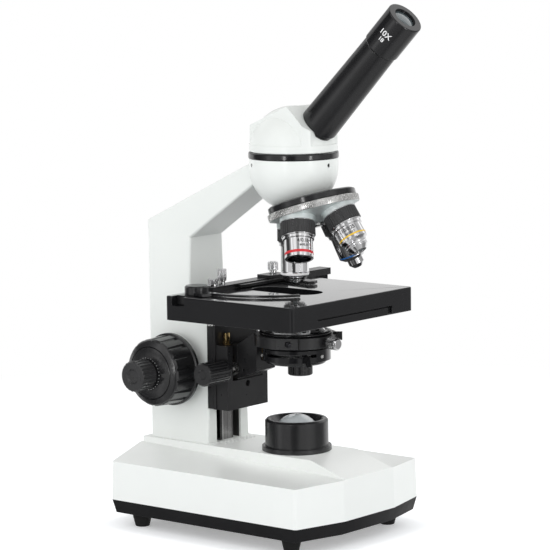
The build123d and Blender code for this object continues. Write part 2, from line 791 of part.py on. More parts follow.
# Stage plate: the moving top, hollow below, with a long opening and a track for the slide holder
with BuildPart() as stage_plate:
    block((-stage_half_width, stage_half_width), (stage_front, stage_back), (stage_bottom, stage_top))
    fillet(stage_plate.edges().filter_by(Axis.Z), stage_corner)
    chamfer(stage_plate.faces().sort_by(Axis.Z)[-1].edges(), 0.6)
    block((-bed_half_width - 0.5, drive_x - 2), (stage_front + 7, stage_back + 1),
          (stage_bottom - 1, roof_bottom), Mode.SUBTRACT)
    block((-stage_half_width - 1, stage_half_width + 1), (track_front, track_back),
          (stage_top - track_depth, stage_top + 1), Mode.SUBTRACT)
    with BuildSketch(level(stage_bottom, 0, opening_y)):
        SlotOverall(opening_length, opening_width, rotation=90)
    extrude(amount=stage_height + 1, mode=Mode.SUBTRACT)
    rod(at(drive_x, drive_y, 0), (0, 0, 1), stage_bottom - 1, stage_top - 1.8, small_pitch + 0.9,
        Mode.SUBTRACT)
    block((-43, 41), (stage_front - 1, stage_front + 1.6), (stage_top - 12.6, stage_top - 11.6),
        Mode.SUBTRACT)
    block((41, 46), (stage_front - 1, stage_front + 3), (stage_top - 17, stage_top - 11.6), Mode.SUBTRACT)
stage_plate.part.label = "stage_plate"
export_step(stage_plate.part, "parts/stage_plate.step")

# Drive hanger: the bearing of the stage's two hanging knobs
with BuildPart() as drive_hanger:
    block((drive_x - 10, drive_x + 8), (drive_y - 9, drive_y + 9), (stage_bottom - 5, stage_bottom))
    rod(at(drive_x, drive_y, 0), (0, 0, 1), stage_bottom - 15, stage_bottom - 5, drive_tube_radius + 3)
    rod(at(drive_x, drive_y, 0), (0, 0, 1), stage_bottom - 16, stage_bottom + 1,
        drive_tube_radius + running, Mode.SUBTRACT)
drive_hanger.part.label = "drive_hanger"
export_step(drive_hanger.part, "parts/drive_hanger.step")


def drive_knob(bottom):
    """A fluted knob of the stage drive."""
    centre = at(drive_x, drive_y, 0)
    top = bottom + drive_knob_length
    turn(axis_plane(centre, (0, 0, 1)), [
        (bottom, 0), (top, 0), (top, drive_knob_radius - 0.8), (top - 0.8, drive_knob_radius),
        (bottom + 0.8, drive_knob_radius), (bottom, drive_knob_radius - 0.8),
    ])
    flutes(centre, (0, 0, 1), bottom - 1, top + 1, fine_flute_count, drive_knob_radius + 0.2, 0.7)


upper_knob_bottom = drive_bottom + drive_knob_length + 3
x_pinion_bottom = stage_top - track_depth + 1.3
with BuildPart() as y_knob:
    drive_knob(upper_knob_bottom)
    rod(at(drive_x, drive_y, 0), (0, 0, 1), upper_knob_bottom, bed_top, drive_tube_radius)
    pinion(level(bed_bottom + 1, drive_x, drive_y), small_module, pi, bed_height - 2)
    rod(at(drive_x, drive_y, 0), (0, 0, 1), drive_bottom, stage_top, drive_shaft_radius + running,
        Mode.SUBTRACT)
y_knob.part.label = "y_knob"
export_step(y_knob.part, "parts/y_knob.step")

with BuildPart() as x_knob:
    drive_knob(drive_bottom)
    rod(at(drive_x, drive_y, 0), (0, 0, 1), drive_bottom, x_pinion_bottom + 1, drive_shaft_radius)
    pinion(level(x_pinion_bottom, drive_x, drive_y), small_module, pi / 2, 3.4)
x_knob.part.label = "x_knob"
export_step(x_knob.part, "parts/x_knob.step")

# Slide holder bar: runs in the stage's track, with a rack in a slot of its front face
bar_bottom = stage_top - track_depth + gap
with BuildPart() as holder_bar:
    block((bar_left, bar_right), (bar_front, bar_back), (bar_bottom, bar_top))
    block((bar_left - 1, bar_step), (bar_front - 1, bar_back + 1),
        (stage_top + gap, bar_top + 1), Mode.SUBTRACT)
    block((drive_x - 56, bar_right + 1), (bar_front - 1, bar_rack_y + 1),
          (bar_bottom + 0.5, x_pinion_bottom + 4), Mode.SUBTRACT)
    rack(Plane(origin=at(drive_x, bar_rack_y, x_pinion_bottom + 4), x_dir=(1, 0, 0), z_dir=(0, 0, -1)),
         small_module, -56, bar_right - drive_x, -2, x_pinion_bottom + 3.5 - bar_bottom)
    rod(at(hub_x, hub_y, 0), (0, 0, 1), stage_top - 2, stage_top + hub_height - 2, screw_radius)
    rod(at(jaw_screw_x, bar_screw_y, 0), (0, 0, 1), bar_top - 4, bar_top + 1,
        drive_shaft_radius + slack, Mode.SUBTRACT)
holder_bar.part.label = "holder_bar"
export_step(holder_bar.part, "parts/holder_bar.step")

# Slide jaw: the fixed corner that holds a glass slide, clamped on the bar
jaw_right = slide_length / 2 + 9
jaw_back = bar_front - gap
jaw_edge = jaw_back - 5
with BuildPart() as slide_jaw:
    with BuildSketch(level(stage_top + jaw_lift)):
        with BuildLine():
            Polyline(
                (-10, jaw_back), (-10, jaw_edge + 1.5), (-6, jaw_edge), (slide_length / 2, jaw_edge),
                (slide_length / 2 - 4.5, jaw_edge - slide_width - 3),
                (slide_length / 2 - 1, jaw_edge - slide_width - 6),
                (jaw_right - 4, jaw_edge - slide_width - 4), (jaw_right, jaw_edge),
                (jaw_right, jaw_back), close=True,
            )
        make_face()
    extrude(amount=jaw_thickness)
    block((jaw_screw_x - 13, jaw_right), (jaw_back - 3, jaw_back),
        (stage_top + jaw_lift, bar_top + jaw_thickness))
    block((jaw_screw_x - 13, jaw_right), (jaw_back, bar_back - 0.6), (bar_top, bar_top + jaw_thickness))
    rod(at(jaw_screw_x, bar_screw_y, 0), (0, 0, 1), bar_top - 1, bar_top + 4,
        drive_shaft_radius + slack, Mode.SUBTRACT)
slide_jaw.part.label = "slide_jaw"
export_step(slide_jaw.part, "parts/slide_jaw.step")

# Holder screws: the jaw's thumb screw and the two posts on the bar
jaw_top = bar_top + jaw_thickness
with BuildPart() as holder_screws:
    rod(at(jaw_screw_x, bar_screw_y, 0), (0, 0, 1), bar_top - 3.6, jaw_top, drive_shaft_radius)
    turn(axis_plane(at(jaw_screw_x, bar_screw_y, 0), (0, 0, 1)), [
        (jaw_top, 0), (jaw_top, 3), (jaw_top + 2.3, 3), (jaw_top + 2.3, 3.9), (jaw_top + 8.6, 3.9),
        (jaw_top + 9.4, 3.1), (jaw_top + 9.4, 0),
    ])
    turn(axis_plane(at(tall_post_x, bar_screw_y, 0), (0, 0, 1)), [
        (bar_top, 0), (bar_top, 2.4), (bar_top + 3, 2.4), (bar_top + 3, 3.4), (bar_top + 11.2, 3.4),
        (bar_top + 12, 2.6), (bar_top + 12, 0),
    ])
    turn(axis_plane(at(short_post_x, bar_screw_y, 0), (0, 0, 1)), [
        (bar_top, 0), (bar_top, 3.8), (bar_top + 4.8, 3.8), (bar_top + 5.6, 3), (bar_top + 5.6, 0),
    ])
holder_screws.part.label = "holder_screws"
export_step(holder_screws.part, "parts/holder_screws.step")

# Slide clip: a hub on the bar's pin, a thumb tab and a long curved finger
clip_bottom = stage_top + gap + 0.1
with BuildPart() as slide_clip:
    turn(axis_plane(at(hub_x, hub_y, 0), (0, 0, 1)), [
        (clip_bottom, 0), (clip_bottom, hub_radius), (clip_bottom + hub_height - 1, hub_radius),
        (clip_bottom + hub_height, hub_radius - 1), (clip_bottom + hub_height, 0),
    ])
    with BuildSketch(level(clip_bottom, hub_x, hub_y)):
        with BuildLine():
            ThreePointArc((0.5, -5), (4.6, -44.6), (30.8, -74.5))
            Line((30.8, -74.5), (32.8, -71.4))
            ThreePointArc((32.8, -71.4), (8.2, -44.3), (5.5, -5))
            Line((5.5, -5), (0.5, -5))
        make_face()
        with BuildLine():
            Polyline((-8, -4), (-11, -15), (-4, -18), (2, -6), close=True)
        make_face()
    extrude(amount=1.8)
    rod(at(hub_x, hub_y, 0), (0, 0, 1), clip_bottom - 1, stage_top + hub_height - 1.9,
        screw_radius + running, Mode.SUBTRACT)
slide_clip.part.label = "slide_clip"
export_step(slide_clip.part, "parts/slide_clip.step")

# Condenser carrier: a block between the bracket's cheeks, an arm and a slit clamp ring
clamp = (cos(radians(clamp_angle)), sin(radians(clamp_angle)), 0)
slit = (cos(radians(slit_angle)), sin(radians(slit_angle)), 0)
flat = (cos(radians(flat_angle)), sin(radians(flat_angle)), 0)
with BuildPart() as condenser_carrier:
    block((rack_right, bracket_half_width - cheek_width - gap),
          (bracket_front + 0.5, bracket_back_front - gap), (carrier_bottom, carrier_top))
    with BuildSketch(side(rack_right + 0.4)):
        with BuildLine():
            Polyline(
                (carrier_front - 1.5, ring_bottom), (carrier_front, iris_bottom),
                (carrier_front, carrier_chin), (bracket_front + 1, carrier_bottom + 0.5),
                (bracket_front + 1, carrier_top), (carrier_front + 0.5, ring_top),
                (ring_bore - 0.5, ring_top), (ring_bore - 0.5, ring_bottom), close=True,
            )
        make_face()
    extrude(amount=-2 * rack_right - 0.8)
    rod(at(0, 0, 0), (0, 0, 1), ring_bottom, ring_top, ring_radius)
    with BuildSketch(Plane(origin=at(0, 0, ring_bottom - 1), x_dir=flat, z_dir=(0, 0, 1))):
        with Locations((ring_radius - flat_depth + 2, 0)):
            Rectangle(4, ring_radius)
    extrude(amount=ring_top - ring_bottom + 2, mode=Mode.SUBTRACT)
    rod(at(0, 0, ring_middle), clamp, ring_radius - 3, ring_radius + 2, clamp_neck_radius)
    with BuildSketch(level(ring_middle - 1)):
        with PolarLocations(ring_radius + 0.5, 1, start_angle=lug_angle):
            Rectangle(7, 3)
    extrude(amount=ring_top - ring_middle + 2)
    rod(at(0, 0, 0), (0, 0, 1), ring_bottom - 1, ring_top + 2, ring_bore, Mode.SUBTRACT)
    with BuildSketch(Plane(origin=at(0, 0, ring_bottom - 1), x_dir=slit, z_dir=(0, 0, 1))):
        with Locations((ring_radius, 0)):
            Rectangle(4, slit_width)
    extrude(amount=ring_top - ring_bottom + 2, mode=Mode.SUBTRACT)
    rod(at(0, 0, ring_middle), clamp, ring_bore - 1, ring_radius + 3, screw_radius + running, Mode.SUBTRACT)
    rod(at(rack_right, carrier_front + 12.7, carrier_chin - 0.3), (1, 0, 0), -1, 4, 0.9, Mode.SUBTRACT)
condenser_carrier.part.label = "condenser_carrier"
export_step(condenser_carrier.part, "parts/condenser_carrier.step")

# Condenser rack: a brass bar on the carrier's left side
with BuildPart() as condenser_rack:
    rack(Plane(origin=at(rack_left, condenser_rack_y, condenser_knob_z), x_dir=(0, 0, 1), z_dir=(1, 0, 0)),
         small_module, condenser_rack_bottom - condenser_knob_z, condenser_rack_top - condenser_knob_z,
         condenser_rack_y - bracket_back_front + gap, rack_right - rack_left)
condenser_rack.part.label = "condenser_rack"
export_step(condenser_rack.part, "parts/condenser_rack.step")

# Condenser: a stepped mount with a rim on the clamp ring, and a domed top lens
with BuildPart() as condenser_body:
    turn(axis_plane(at(0, 0, 0), (0, 0, 1)), [
        (drum_top, ring_bore - 4.5), (drum_top, ring_bore - slack), (ring_top, ring_bore - slack),
        (ring_top, ring_bore + 2.5), (ring_top + 2, ring_bore + 2.5), (ring_top + 2.6, ring_bore - 2.5),
        (ring_top + 8.6, condenser_lens_radius + 2), (condenser_top, condenser_lens_radius + 1),
        (condenser_top, condenser_lens_radius + slack), (condenser_top - 3, condenser_lens_radius + slack),
        (condenser_top - 3, condenser_lens_radius - 1.5), (ring_top, ring_bore - 4.5),
    ])
condenser_body.part.label = "condenser_body"
export_step(condenser_body.part, "parts/condenser_body.step")


def dome(base, rise, radius, edge, plane):
    """A plano-convex lens: a flat base, a short cylindrical edge and a spherical top."""
    sphere = (radius * radius + rise * rise) / (2 * rise)
    with BuildSketch(plane) as outline:
        with BuildLine():
            Line((base + edge + rise, 0), (base, 0))
            Line((base, 0), (base, radius))
            Line((base, radius), (base + edge, radius))
            RadiusArc((base + edge, radius), (base + edge + rise, 0), sphere)
        make_face()
    revolve(outline.sketch, axis=Axis(plane.origin, plane.x_dir))


with BuildPart() as condenser_lens:
    dome(condenser_top - 3, 1.6, condenser_lens_radius, 2.6, axis_plane(at(0, 0, 0), (0, 0, 1)))
condenser_lens.part.label = "condenser_lens"
export_step(condenser_lens.part, "parts/condenser_lens.step")

# Iris housing: a drum with a lever slot and a conical floor
iris_start = (cos(radians(iris_slot_from)), sin(radians(iris_slot_from)), 0)
iris_normal = (sin(radians(iris_slot_from)), -cos(radians(iris_slot_from)), 0)
iris_middle = drum_top - iris_slot_drop
with BuildPart() as iris_housing:
    turn(axis_plane(at(0, 0, 0), (0, 0, 1)), [
        (drum_top, ring_bore - 2.5), (drum_top, iris_radius), (iris_bottom, iris_radius),
        (iris_bottom, iris_radius - 2.5), (iris_floor + 0.8, iris_radius - 3.5),
        (iris_floor, iris_radius - 4.5),
        (iris_floor, condenser_lens_radius + 1), (iris_floor + 2.2, condenser_lens_radius + 1),
        (iris_bottom, ring_bore - 2.5),
    ])
    with BuildSketch(Plane(origin=at(0, 0, 0), x_dir=iris_start, z_dir=iris_normal)) as slot:
        with Locations((iris_radius, iris_middle)):
            Rectangle(12, 2.2)
    revolve(slot.sketch, axis=Axis(at(0, 0, 0), (0, 0, 1)), revolution_arc=iris_slot_to - iris_slot_from,
            mode=Mode.SUBTRACT)
iris_housing.part.label = "iris_housing"
export_step(iris_housing.part, "parts/iris_housing.step")

# Iris lever: a ring inside the drum with a bent handle out through the slot
lever_out = (cos(radians(iris_lever_angle)), sin(radians(iris_lever_angle)), 0)
lever_normal = (sin(radians(iris_lever_angle)), -cos(radians(iris_lever_angle)), 0)
lever_inner = ring_bore - 2.8
with BuildPart() as iris_lever:
    turn(axis_plane(at(0, 0, 0), (0, 0, 1)), [
        (iris_middle - 0.6, lever_inner - 5), (iris_middle + 0.6, lever_inner - 5),
        (iris_middle + 0.6, lever_inner), (iris_middle - 0.6, lever_inner),
    ])
    with BuildSketch(Plane(origin=at(0, 0, 0), x_dir=lever_out, z_dir=lever_normal)):
        with BuildLine():
            Polyline(
                (lever_inner - 2, iris_middle - 0.6), (iris_radius + 3, iris_middle - 0.6),
                (iris_radius + 8.5, iris_middle - 7.2), (iris_radius + 9.5, iris_middle - 6.4),
                (iris_radius + 3.6, iris_middle + 0.6), (lever_inner - 2, iris_middle + 0.6), close=True,
            )
        make_face()
    extrude(amount=2, both=True)
iris_lever.part.label = "iris_lever"
export_step(iris_lever.part, "parts/iris_lever.step")

# Clamp screw: the thumb screw that holds the condenser in its ring
with BuildPart() as clamp_screw:
    turn(axis_plane(at(0, 0, ring_middle), clamp), [
        (ring_bore + gap, 0), (ring_bore + gap, screw_radius), (ring_radius + 2.3, screw_radius),
        (ring_radius + 2.3, clamp_neck_radius), (ring_radius + 4, clamp_neck_radius),
        (ring_radius + 4, clamp_head_radius),
        (ring_radius + 12, clamp_head_radius), (ring_radius + 13, clamp_head_radius - 1),
        (ring_radius + 13, 0),
    ])
clamp_screw.part.label = "clamp_screw"
export_step(clamp_screw.part, "parts/clamp_screw.step")

# Condenser shaft, with its pinion, and the knob on its outer end
pinion_start = at(rack_left + 0.2, condenser_knob_y, condenser_knob_z)
with BuildPart() as condenser_shaft:
    rod(condenser_pivot, (1, 0, 0), -condenser_knob_outer + 3, rack_right - gap, condenser_shaft_radius)
    rod(condenser_pivot, (1, 0, 0), -condenser_knob_inner, -bracket_half_width - gap, 6)
    pinion(Plane(origin=pinion_start, x_dir=(0, 1, 0), z_dir=(1, 0, 0)), small_module, 0,
           rack_right - rack_left - 0.6)
condenser_shaft.part.label = "condenser_shaft"
export_step(condenser_shaft.part, "parts/condenser_shaft.step")

with BuildPart() as condenser_knob:
    turn(axis_plane(condenser_pivot, (-1, 0, 0)), [
        (condenser_knob_inner, condenser_shaft_radius + slack),
        (condenser_knob_inner, condenser_knob_radius - 0.8),
        (condenser_knob_inner + 0.8, condenser_knob_radius),
        (condenser_knob_outer - 1, condenser_knob_radius),
        (condenser_knob_outer, condenser_knob_radius - 1), (condenser_knob_outer, 4),
        (condenser_knob_outer - 1, 3), (condenser_knob_outer - 1, 0), (condenser_knob_outer - 2.9, 0),
        (condenser_knob_outer - 2.9, condenser_shaft_radius + slack),
    ])
    flutes(condenser_pivot, (-1, 0, 0), condenser_knob_inner + 2, condenser_knob_outer + 1,
           fine_flute_count, condenser_knob_radius + 0.2, 0.7)
condenser_knob.part.label = "condenser_knob"
export_step(condenser_knob.part, "parts/condenser_knob.step")

# Lamp: a housing on the deck, a domed lens, a bulb in its socket
lens_floor = lamp_lens_base - 1.5
socket_top = deck_height + 4.6
with BuildPart() as lamp_housing:
    turn(axis_plane(at(0, 0, 0), (0, 0, 1)), [
        (deck_height, socket_radius + 0.2), (deck_height, lamp_flange_radius),
        (deck_height + lamp_flange_height, lamp_flange_radius),
        (deck_height + lamp_flange_height, lamp_radius),
        (lamp_top - 1.4, lamp_radius), (lamp_top, lamp_radius - 1.4), (lamp_top, lamp_radius - 3.6),
        (lens_floor + 2, lamp_lens_radius + 0.1), (lens_floor, lamp_lens_radius + 0.1),
        (lens_floor, lamp_lens_radius - 1.6), (socket_top, lamp_lens_radius - 1.6),
        (socket_top, socket_radius + 3.2), (deck_height + 2.6, socket_radius + 3.2),
        (deck_height + 2.6, socket_radius + 0.2),
    ])
lamp_housing.part.label = "lamp_housing"
export_step(lamp_housing.part, "parts/lamp_housing.step")

with BuildPart() as lamp_lens:
    dome(lens_floor, lamp_lens_apex - lens_floor - 2, lamp_lens_radius, 2, axis_plane(at(0, 0, 0),
        (0, 0, 1)))
lamp_lens.part.label = "lamp_lens"
export_step(lamp_lens.part, "parts/lamp_lens.step")

with BuildPart() as lamp_bulb:
    dome(socket_top, bulb_radius, bulb_radius, 5, axis_plane(at(0, 0, 0), (0, 0, 1)))
lamp_bulb.part.label = "lamp_bulb"
export_step(lamp_bulb.part, "parts/lamp_bulb.step")

with BuildPart() as lamp_socket:
    turn(axis_plane(at(0, 0, 0), (0, 0, 1)), [
        (deck_height - 10, 0), (deck_height - 10, socket_radius), (deck_height + 2.6, socket_radius),
        (deck_height + 2.6, socket_radius + 3), (socket_top, socket_radius + 3), (socket_top, 0),
    ])
lamp_socket.part.label = "lamp_socket"
export_step(lamp_socket.part, "parts/lamp_socket.step")

# Switch: a bezel let into the right slope, and a rocker on two trunnions
rocker_width = switch_width - 4.2
with BuildPart() as switch_bezel:
    with BuildSketch(switch_plane.offset(-switch_sunk)):
        Rectangle(switch_width, switch_length)
    extrude(amount=switch_sunk + switch_rise)
    with BuildSketch(switch_plane.offset(-switch_depth)):
        Rectangle(switch_width - 1.4, switch_length - 1)
    extrude(amount=switch_depth)
    with BuildSketch(switch_plane.offset(-switch_depth + 1)):
        Rectangle(rocker_width + 0.6, switch_length - 2.4)
    extrude(amount=switch_depth + switch_rise, mode=Mode.SUBTRACT)
    rod(switch_plane.from_local_coords((0, 0, rocker_rise)), switch_plane.x_dir,
        -rocker_width / 2 - 1, rocker_width / 2 + 1, 1 + running, Mode.SUBTRACT)
switch_bezel.part.label = "switch_bezel"
export_step(switch_bezel.part, "parts/switch_bezel.step")

with BuildPart() as power_rocker:
    with BuildSketch(Plane(origin=switch_plane.from_local_coords((0, 0, rocker_rise)),
                           x_dir=switch_plane.y_dir, z_dir=switch_plane.x_dir)):
        with BuildLine():
            Polyline(
                (8.3, -1), (8.3, 0.6), (0, 2.2), (-7.9, 3.9), (-8.3, 2), (-8.3, -1), (-4, -6),
                (4, -6), close=True,
            )
        make_face()
    extrude(amount=rocker_width / 2, both=True)
    rod(switch_plane.from_local_coords((0, 0, rocker_rise)), switch_plane.x_dir,
        -rocker_width / 2 - 0.9, rocker_width / 2 + 0.9, 1)
power_rocker.part.label = "power_rocker"
export_step(power_rocker.part, "parts/power_rocker.step")

# Power inlet: a lip on the back wall, a recess and three pins
inlet_low = inlet_z - inlet_height / 2
inlet_high = inlet_z + inlet_height / 2
with BuildPart() as power_inlet:
    block((-inlet_width / 2, inlet_width / 2), (base_back, back_reach), (inlet_low, inlet_high))
    block((-inlet_width / 2 + 2.2, inlet_width / 2 - 2.2), (base_back - 18, base_back),
          (inlet_low + 2.2, inlet_high - 2.2))
    block((-inlet_width / 2 + 3.6, inlet_width / 2 - 3.6), (base_back - 14, back_reach + 1),
          (inlet_low + 3.6, inlet_high - 3.6), Mode.SUBTRACT)
    for pin_x, pin_z in ((-7, -2), (0, 2), (7, -2)):
        block((pin_x - 1, pin_x + 1), (base_back - 15, base_back - 1),
            (inlet_z + pin_z - 2, inlet_z + pin_z + 2))
power_inlet.part.label = "power_inlet"
export_step(power_inlet.part, "parts/power_inlet.step")

# Head ring: seats the head on the bowl
with BuildPart() as head_ring:
    turn(axis_plane(at(0, 0, 0), (0, 0, 1)), [
        (bowl_rim, ring_inner_radius), (bowl_rim, ring_outer_radius - 0.4),
        (bowl_rim + 0.6, ring_outer_radius),
        (head_z - 0.8, ring_outer_radius), (head_z, ring_outer_radius - 0.8), (head_z, ring_inner_radius),
    ])
head_ring.part.label = "head_ring"
export_step(head_ring.part, "parts/head_ring.step")

# Head housing: a collar, a dome and the flat-sided prism box with its sloping front
dome_centre = head_z + 1.2
with BuildPart() as head_housing:
    turn(axis_plane(at(0, 0, 0), (0, 0, 1)), [
        (bowl_rim - 6, 0), (bowl_rim - 6, ring_inner_radius - gap), (head_z + 0.1, ring_inner_radius - gap),
        (head_z + 0.1, collar_radius - 0.6), (head_z + 0.7, collar_radius),
        (head_z + collar_height, collar_radius),
        (head_z + collar_height, 0),
    ])
    with BuildSketch(side()) as half_dome:
        with BuildLine():
            Line((0, dome_centre), (0, dome_centre + dome_radius))
            RadiusArc((0, dome_centre + dome_radius), (dome_radius, dome_centre), dome_radius)
            Line((dome_radius, dome_centre), (0, dome_centre))
        make_face()
    revolve(axis=Axis(at(0, 0, 0), (0, 0, 1)))
    with BuildSketch(side(-prism_half_width)):
        with BuildLine():
            Polyline(
                (prism_back, dome_centre), (prism_back, prism_back_height),
                (prism_ridge_y, prism_ridge_height),
                (prism_chin, prism_ridge_height + prism_chin - prism_ridge_y),
                (prism_chin, dome_centre), close=True,
            )
        make_face()
    extrude(amount=2 * prism_half_width)
    rod(at(0, 0, 0), (0, 0, 1), bowl_rim - 7, prism_ridge_height + 1, collar_radius, Mode.INTERSECT)
    rod(at(0, 0, 0), (0, 0, 1), bowl_rim - 7, head_z, light_radius + 8, Mode.SUBTRACT)
    block((-9.2, 9.2), (-9.2, 9.2), (head_z - 1, head_z + 12.2), Mode.SUBTRACT)
    rod(at(0, 0, tube_cross), tube_axis, 12, tube_seat + 20, light_radius, Mode.SUBTRACT)
    rod(at(0, 0, tube_cross), tube_axis, tube_seat - 8.5, tube_seat + 20, tube_spigot_radius + slack,
        Mode.SUBTRACT)
head_housing.part.label = "head_housing"
export_step(head_housing.part, "parts/head_housing.step")

with BuildPart() as head_prism:
    with BuildSketch(side(-9)):
        with BuildLine():
            Polyline((-9, head_z + 0.2), (9, head_z + 0.2), (9, head_z + 5), (2, head_z + 12),
                (-9, head_z + 12), close=True)
        make_face()
    extrude(amount=18)
head_prism.part.label = "head_prism"
export_step(head_prism.part, "parts/head_prism.step")

# Eyepiece tube: a tapered tube at an angle, its spigot in the head
with BuildPart() as eyepiece_tube:
    turn(axis_plane(at(0, 0, tube_cross), tube_axis), [
        (tube_seat - 8.3, light_radius), (tube_seat - 8.3, tube_spigot_radius),
        (tube_seat, tube_spigot_radius),
        (tube_seat, tube_base_radius), (tube_end - 0.6, tube_tip_radius), (tube_end, tube_tip_radius - 0.5),
        (tube_end, eyepiece_bore), (tube_end - eyepiece_sleeve_length - 6, eyepiece_bore),
        (tube_end - eyepiece_sleeve_length - 6, light_radius),
    ])
eyepiece_tube.part.label = "eyepiece_tube"
export_step(eyepiece_tube.part, "parts/eyepiece_tube.step")

# Eyepiece: a barrel on the tube's end, its sleeve inside, a recessed eye lens
eye_floor = eyepiece_top - eye_recess
with BuildPart() as eyepiece_barrel:
    turn(axis_plane(at(0, 0, tube_cross), tube_axis), [
        (tube_end - eyepiece_sleeve_length, eyepiece_sleeve_radius - 1.3),
        (tube_end - eyepiece_sleeve_length, eyepiece_sleeve_radius),
        (tube_end + 0.1, eyepiece_sleeve_radius),
        (tube_end + 0.1, eyepiece_radius - 0.5), (tube_end + 0.7, eyepiece_radius),
        (eyepiece_top - eyepiece_chamfer, eyepiece_radius), (eyepiece_top,
        eyepiece_radius - eyepiece_chamfer),
        (eyepiece_top, eye_lens_radius + 0.1), (eye_floor, eye_lens_radius + 0.1),
        (eye_floor, eye_lens_radius - 1.2),
        (eye_floor - 6, eye_lens_radius - 1.2), (eye_floor - 6, eyepiece_sleeve_radius - 1.3),
    ])
eyepiece_barrel.part.label = "eyepiece_barrel"
export_step(eyepiece_barrel.part, "parts/eyepiece_barrel.step")

with BuildPart() as eye_lens:
    dome(eye_floor, 1.2, eye_lens_radius, 0.8, axis_plane(at(0, 0, tube_cross), tube_axis))
eye_lens.part.label = "eye_lens"
export_step(eye_lens.part, "parts/eye_lens.step")

# Nosepiece: a fixed plate under the bowl and a turret that turns on a tilted pivot
nose_plane = axis_plane(nose_point(0), nose_axis)
turret_top = nose_base_top + nose_base_height + gap
cone_slope = tan(radians(nose_tilt))
seat_along = seat_distance * cos(radians(nose_tilt))
seat_out = seat_distance * sin(radians(nose_tilt))
with BuildPart() as nosepiece_base:
    turn(nose_plane, [
        (nose_base_top, pivot_radius + slack), (nose_base_top, nose_base_radius - 1.6),
        (nose_base_top + 1, nose_base_radius), (nose_base_top + nose_base_height, nose_base_radius),
        (nose_base_top + nose_base_height, pivot_radius + slack),
    ])
    rod(at(0, 0, 0), (0, 0, 1), nose_apex - seat_distance, nose_apex, light_radius, Mode.SUBTRACT)
nosepiece_base.part.label = "nosepiece_base"
export_step(nosepiece_base.part, "parts/nosepiece_base.step")


def cone_at(radius):
    """How far down the nosepiece axis the turret's cone lies at a radius."""
    return seat_along - seat_rise - (radius - seat_out) * cone_slope


with BuildPart() as nosepiece_turret:
    turn(nose_plane, [
        (turret_top, pivot_radius + running), (turret_top, nose_radius - 0.6),
        (turret_top + 0.6, nose_radius),
        (cone_at(nose_radius), nose_radius), (cone_at(9), 9), (cone_at(9) + 1, 7.4),
        (cone_at(9) + 1, pivot_radius + running),
    ])
    for turned in (0, 90, 180, 270):
        place = objective_plane(turned)
        rod(place.origin, place.x_dir, -8, 0, seat_radius)
    for turned in (0, 90, 180, 270):
        place = objective_plane(turned)
        rod(place.origin, place.x_dir, -24, 1, thread_radius + slack, Mode.SUBTRACT)
    turn(nose_plane, [
        (turret_top - 14, 0), (turret_top, 0), (turret_top, 2 * nose_radius),
        (turret_top - 14, 2 * nose_radius),
    ], Mode.SUBTRACT)
nosepiece_turret.part.label = "nosepiece_turret"
export_step(nosepiece_turret.part, "parts/nosepiece_turret.step")

with BuildPart() as nosepiece_pivot:
    turn(nose_plane, [
        (nose_base_top + 0.2, 0), (nose_base_top + 0.2, pivot_radius), (cone_at(9) + 1 + gap, pivot_radius),
        (cone_at(9) + 1 + gap, 6.4), (cone_at(9) + 3, 6.4), (cone_at(9) + 3.8, 5.4), (cone_at(9) + 3.8, 0),
    ])
nosepiece_pivot.part.label = "nosepiece_pivot"
export_step(nosepiece_pivot.part, "parts/nosepiece_pivot.step")

# Click stop: the spring leaf at the back of the nosepiece
with BuildPart() as click_stop:
    with BuildSketch(Plane(origin=nose_point(0), x_dir=nose_axis, z_dir=nose_axis.cross(nose_back))):
        with BuildLine():
            Polyline(
                (nose_base_top + 1.6, nose_base_radius), (nose_base_top - 2.6, nose_radius + 2.2),
                (nose_base_top - 2.6, nose_radius + 3.6), (turret_top + 4, nose_radius + 3.6),
                (turret_top + 4, nose_radius + 0.7), (turret_top - gap, nose_radius + 0.7),
                (turret_top - gap, nose_base_radius), close=True,
            )
        make_face()
    extrude(amount=3.5, both=True)
click_stop.part.label = "click_stop"
export_step(click_stop.part, "parts/click_stop.step")

# Objectives: four barrels screwed into the turret, each with a grip collar against its seat
collar_bore = barrel_radius + 0.3
with BuildPart() as objective_collars:
    for turned in (0, 90, 180, 270):
        turn(objective_plane(turned), [
            (0, collar_bore), (0, collar_knurl_radius), (collar_knurl_length - 0.5, collar_knurl_radius),
            (collar_knurl_length, collar_knurl_radius - 0.5), (collar_knurl_length, collar_bore),
        ])
objective_collars.part.label = "objective_collars"
export_step(objective_collars.part, "parts/objective_collars.step")


def shoulder(inner):
    """The part of an objective's outline that all four share: thread, collar seat and shoulder."""
    return [
        (-thread_length, inner), (-thread_length, thread_radius), (0, thread_radius),
        (0, collar_bore - slack), (collar_knurl_length, collar_bore - slack),
        (collar_knurl_length, collar_bore + 0.8),
        (collar_knurl_length + 3, collar_bore + 0.8), (collar_knurl_length + 3.4, barrel_radius),
    ]


with BuildPart() as objective_4x_barrel:
    turn(objective_plane(270), shoulder(thread_radius - 1.4) + [
        (short_length - 0.5, barrel_radius), (short_length, barrel_radius - 0.5),
        (short_length, thread_radius - 1.4),
    ])
objective_4x_barrel.part.label = "objective_4x_barrel"
export_step(objective_4x_barrel.part, "parts/objective_4x_barrel.step")

with BuildPart() as objective_10x_barrel:
    turn(objective_plane(180), shoulder(step_radius) + [
        (medium_length - 9, barrel_radius), (medium_length - 7, step_radius),
        (medium_length - 3, step_radius), (medium_length, 5.4), (medium_length, 3.2),
        (medium_length - 3, 3.2), (medium_length - 5, step_radius - 2), (medium_length - 12, step_radius),
    ])
objective_10x_barrel.part.label = "objective_10x_barrel"
export_step(objective_10x_barrel.part, "parts/objective_10x_barrel.step")

with BuildPart() as objective_lenses:
    dome(short_length - 20, 1.4, thread_radius - 1.45, 2, objective_plane(270))
    dome(medium_length - 2.6, 0.4, 3.15, 1.4, objective_plane(180))
objective_lenses.part.label = "objective_lenses"
export_step(objective_lenses.part, "parts/objective_lenses.step")


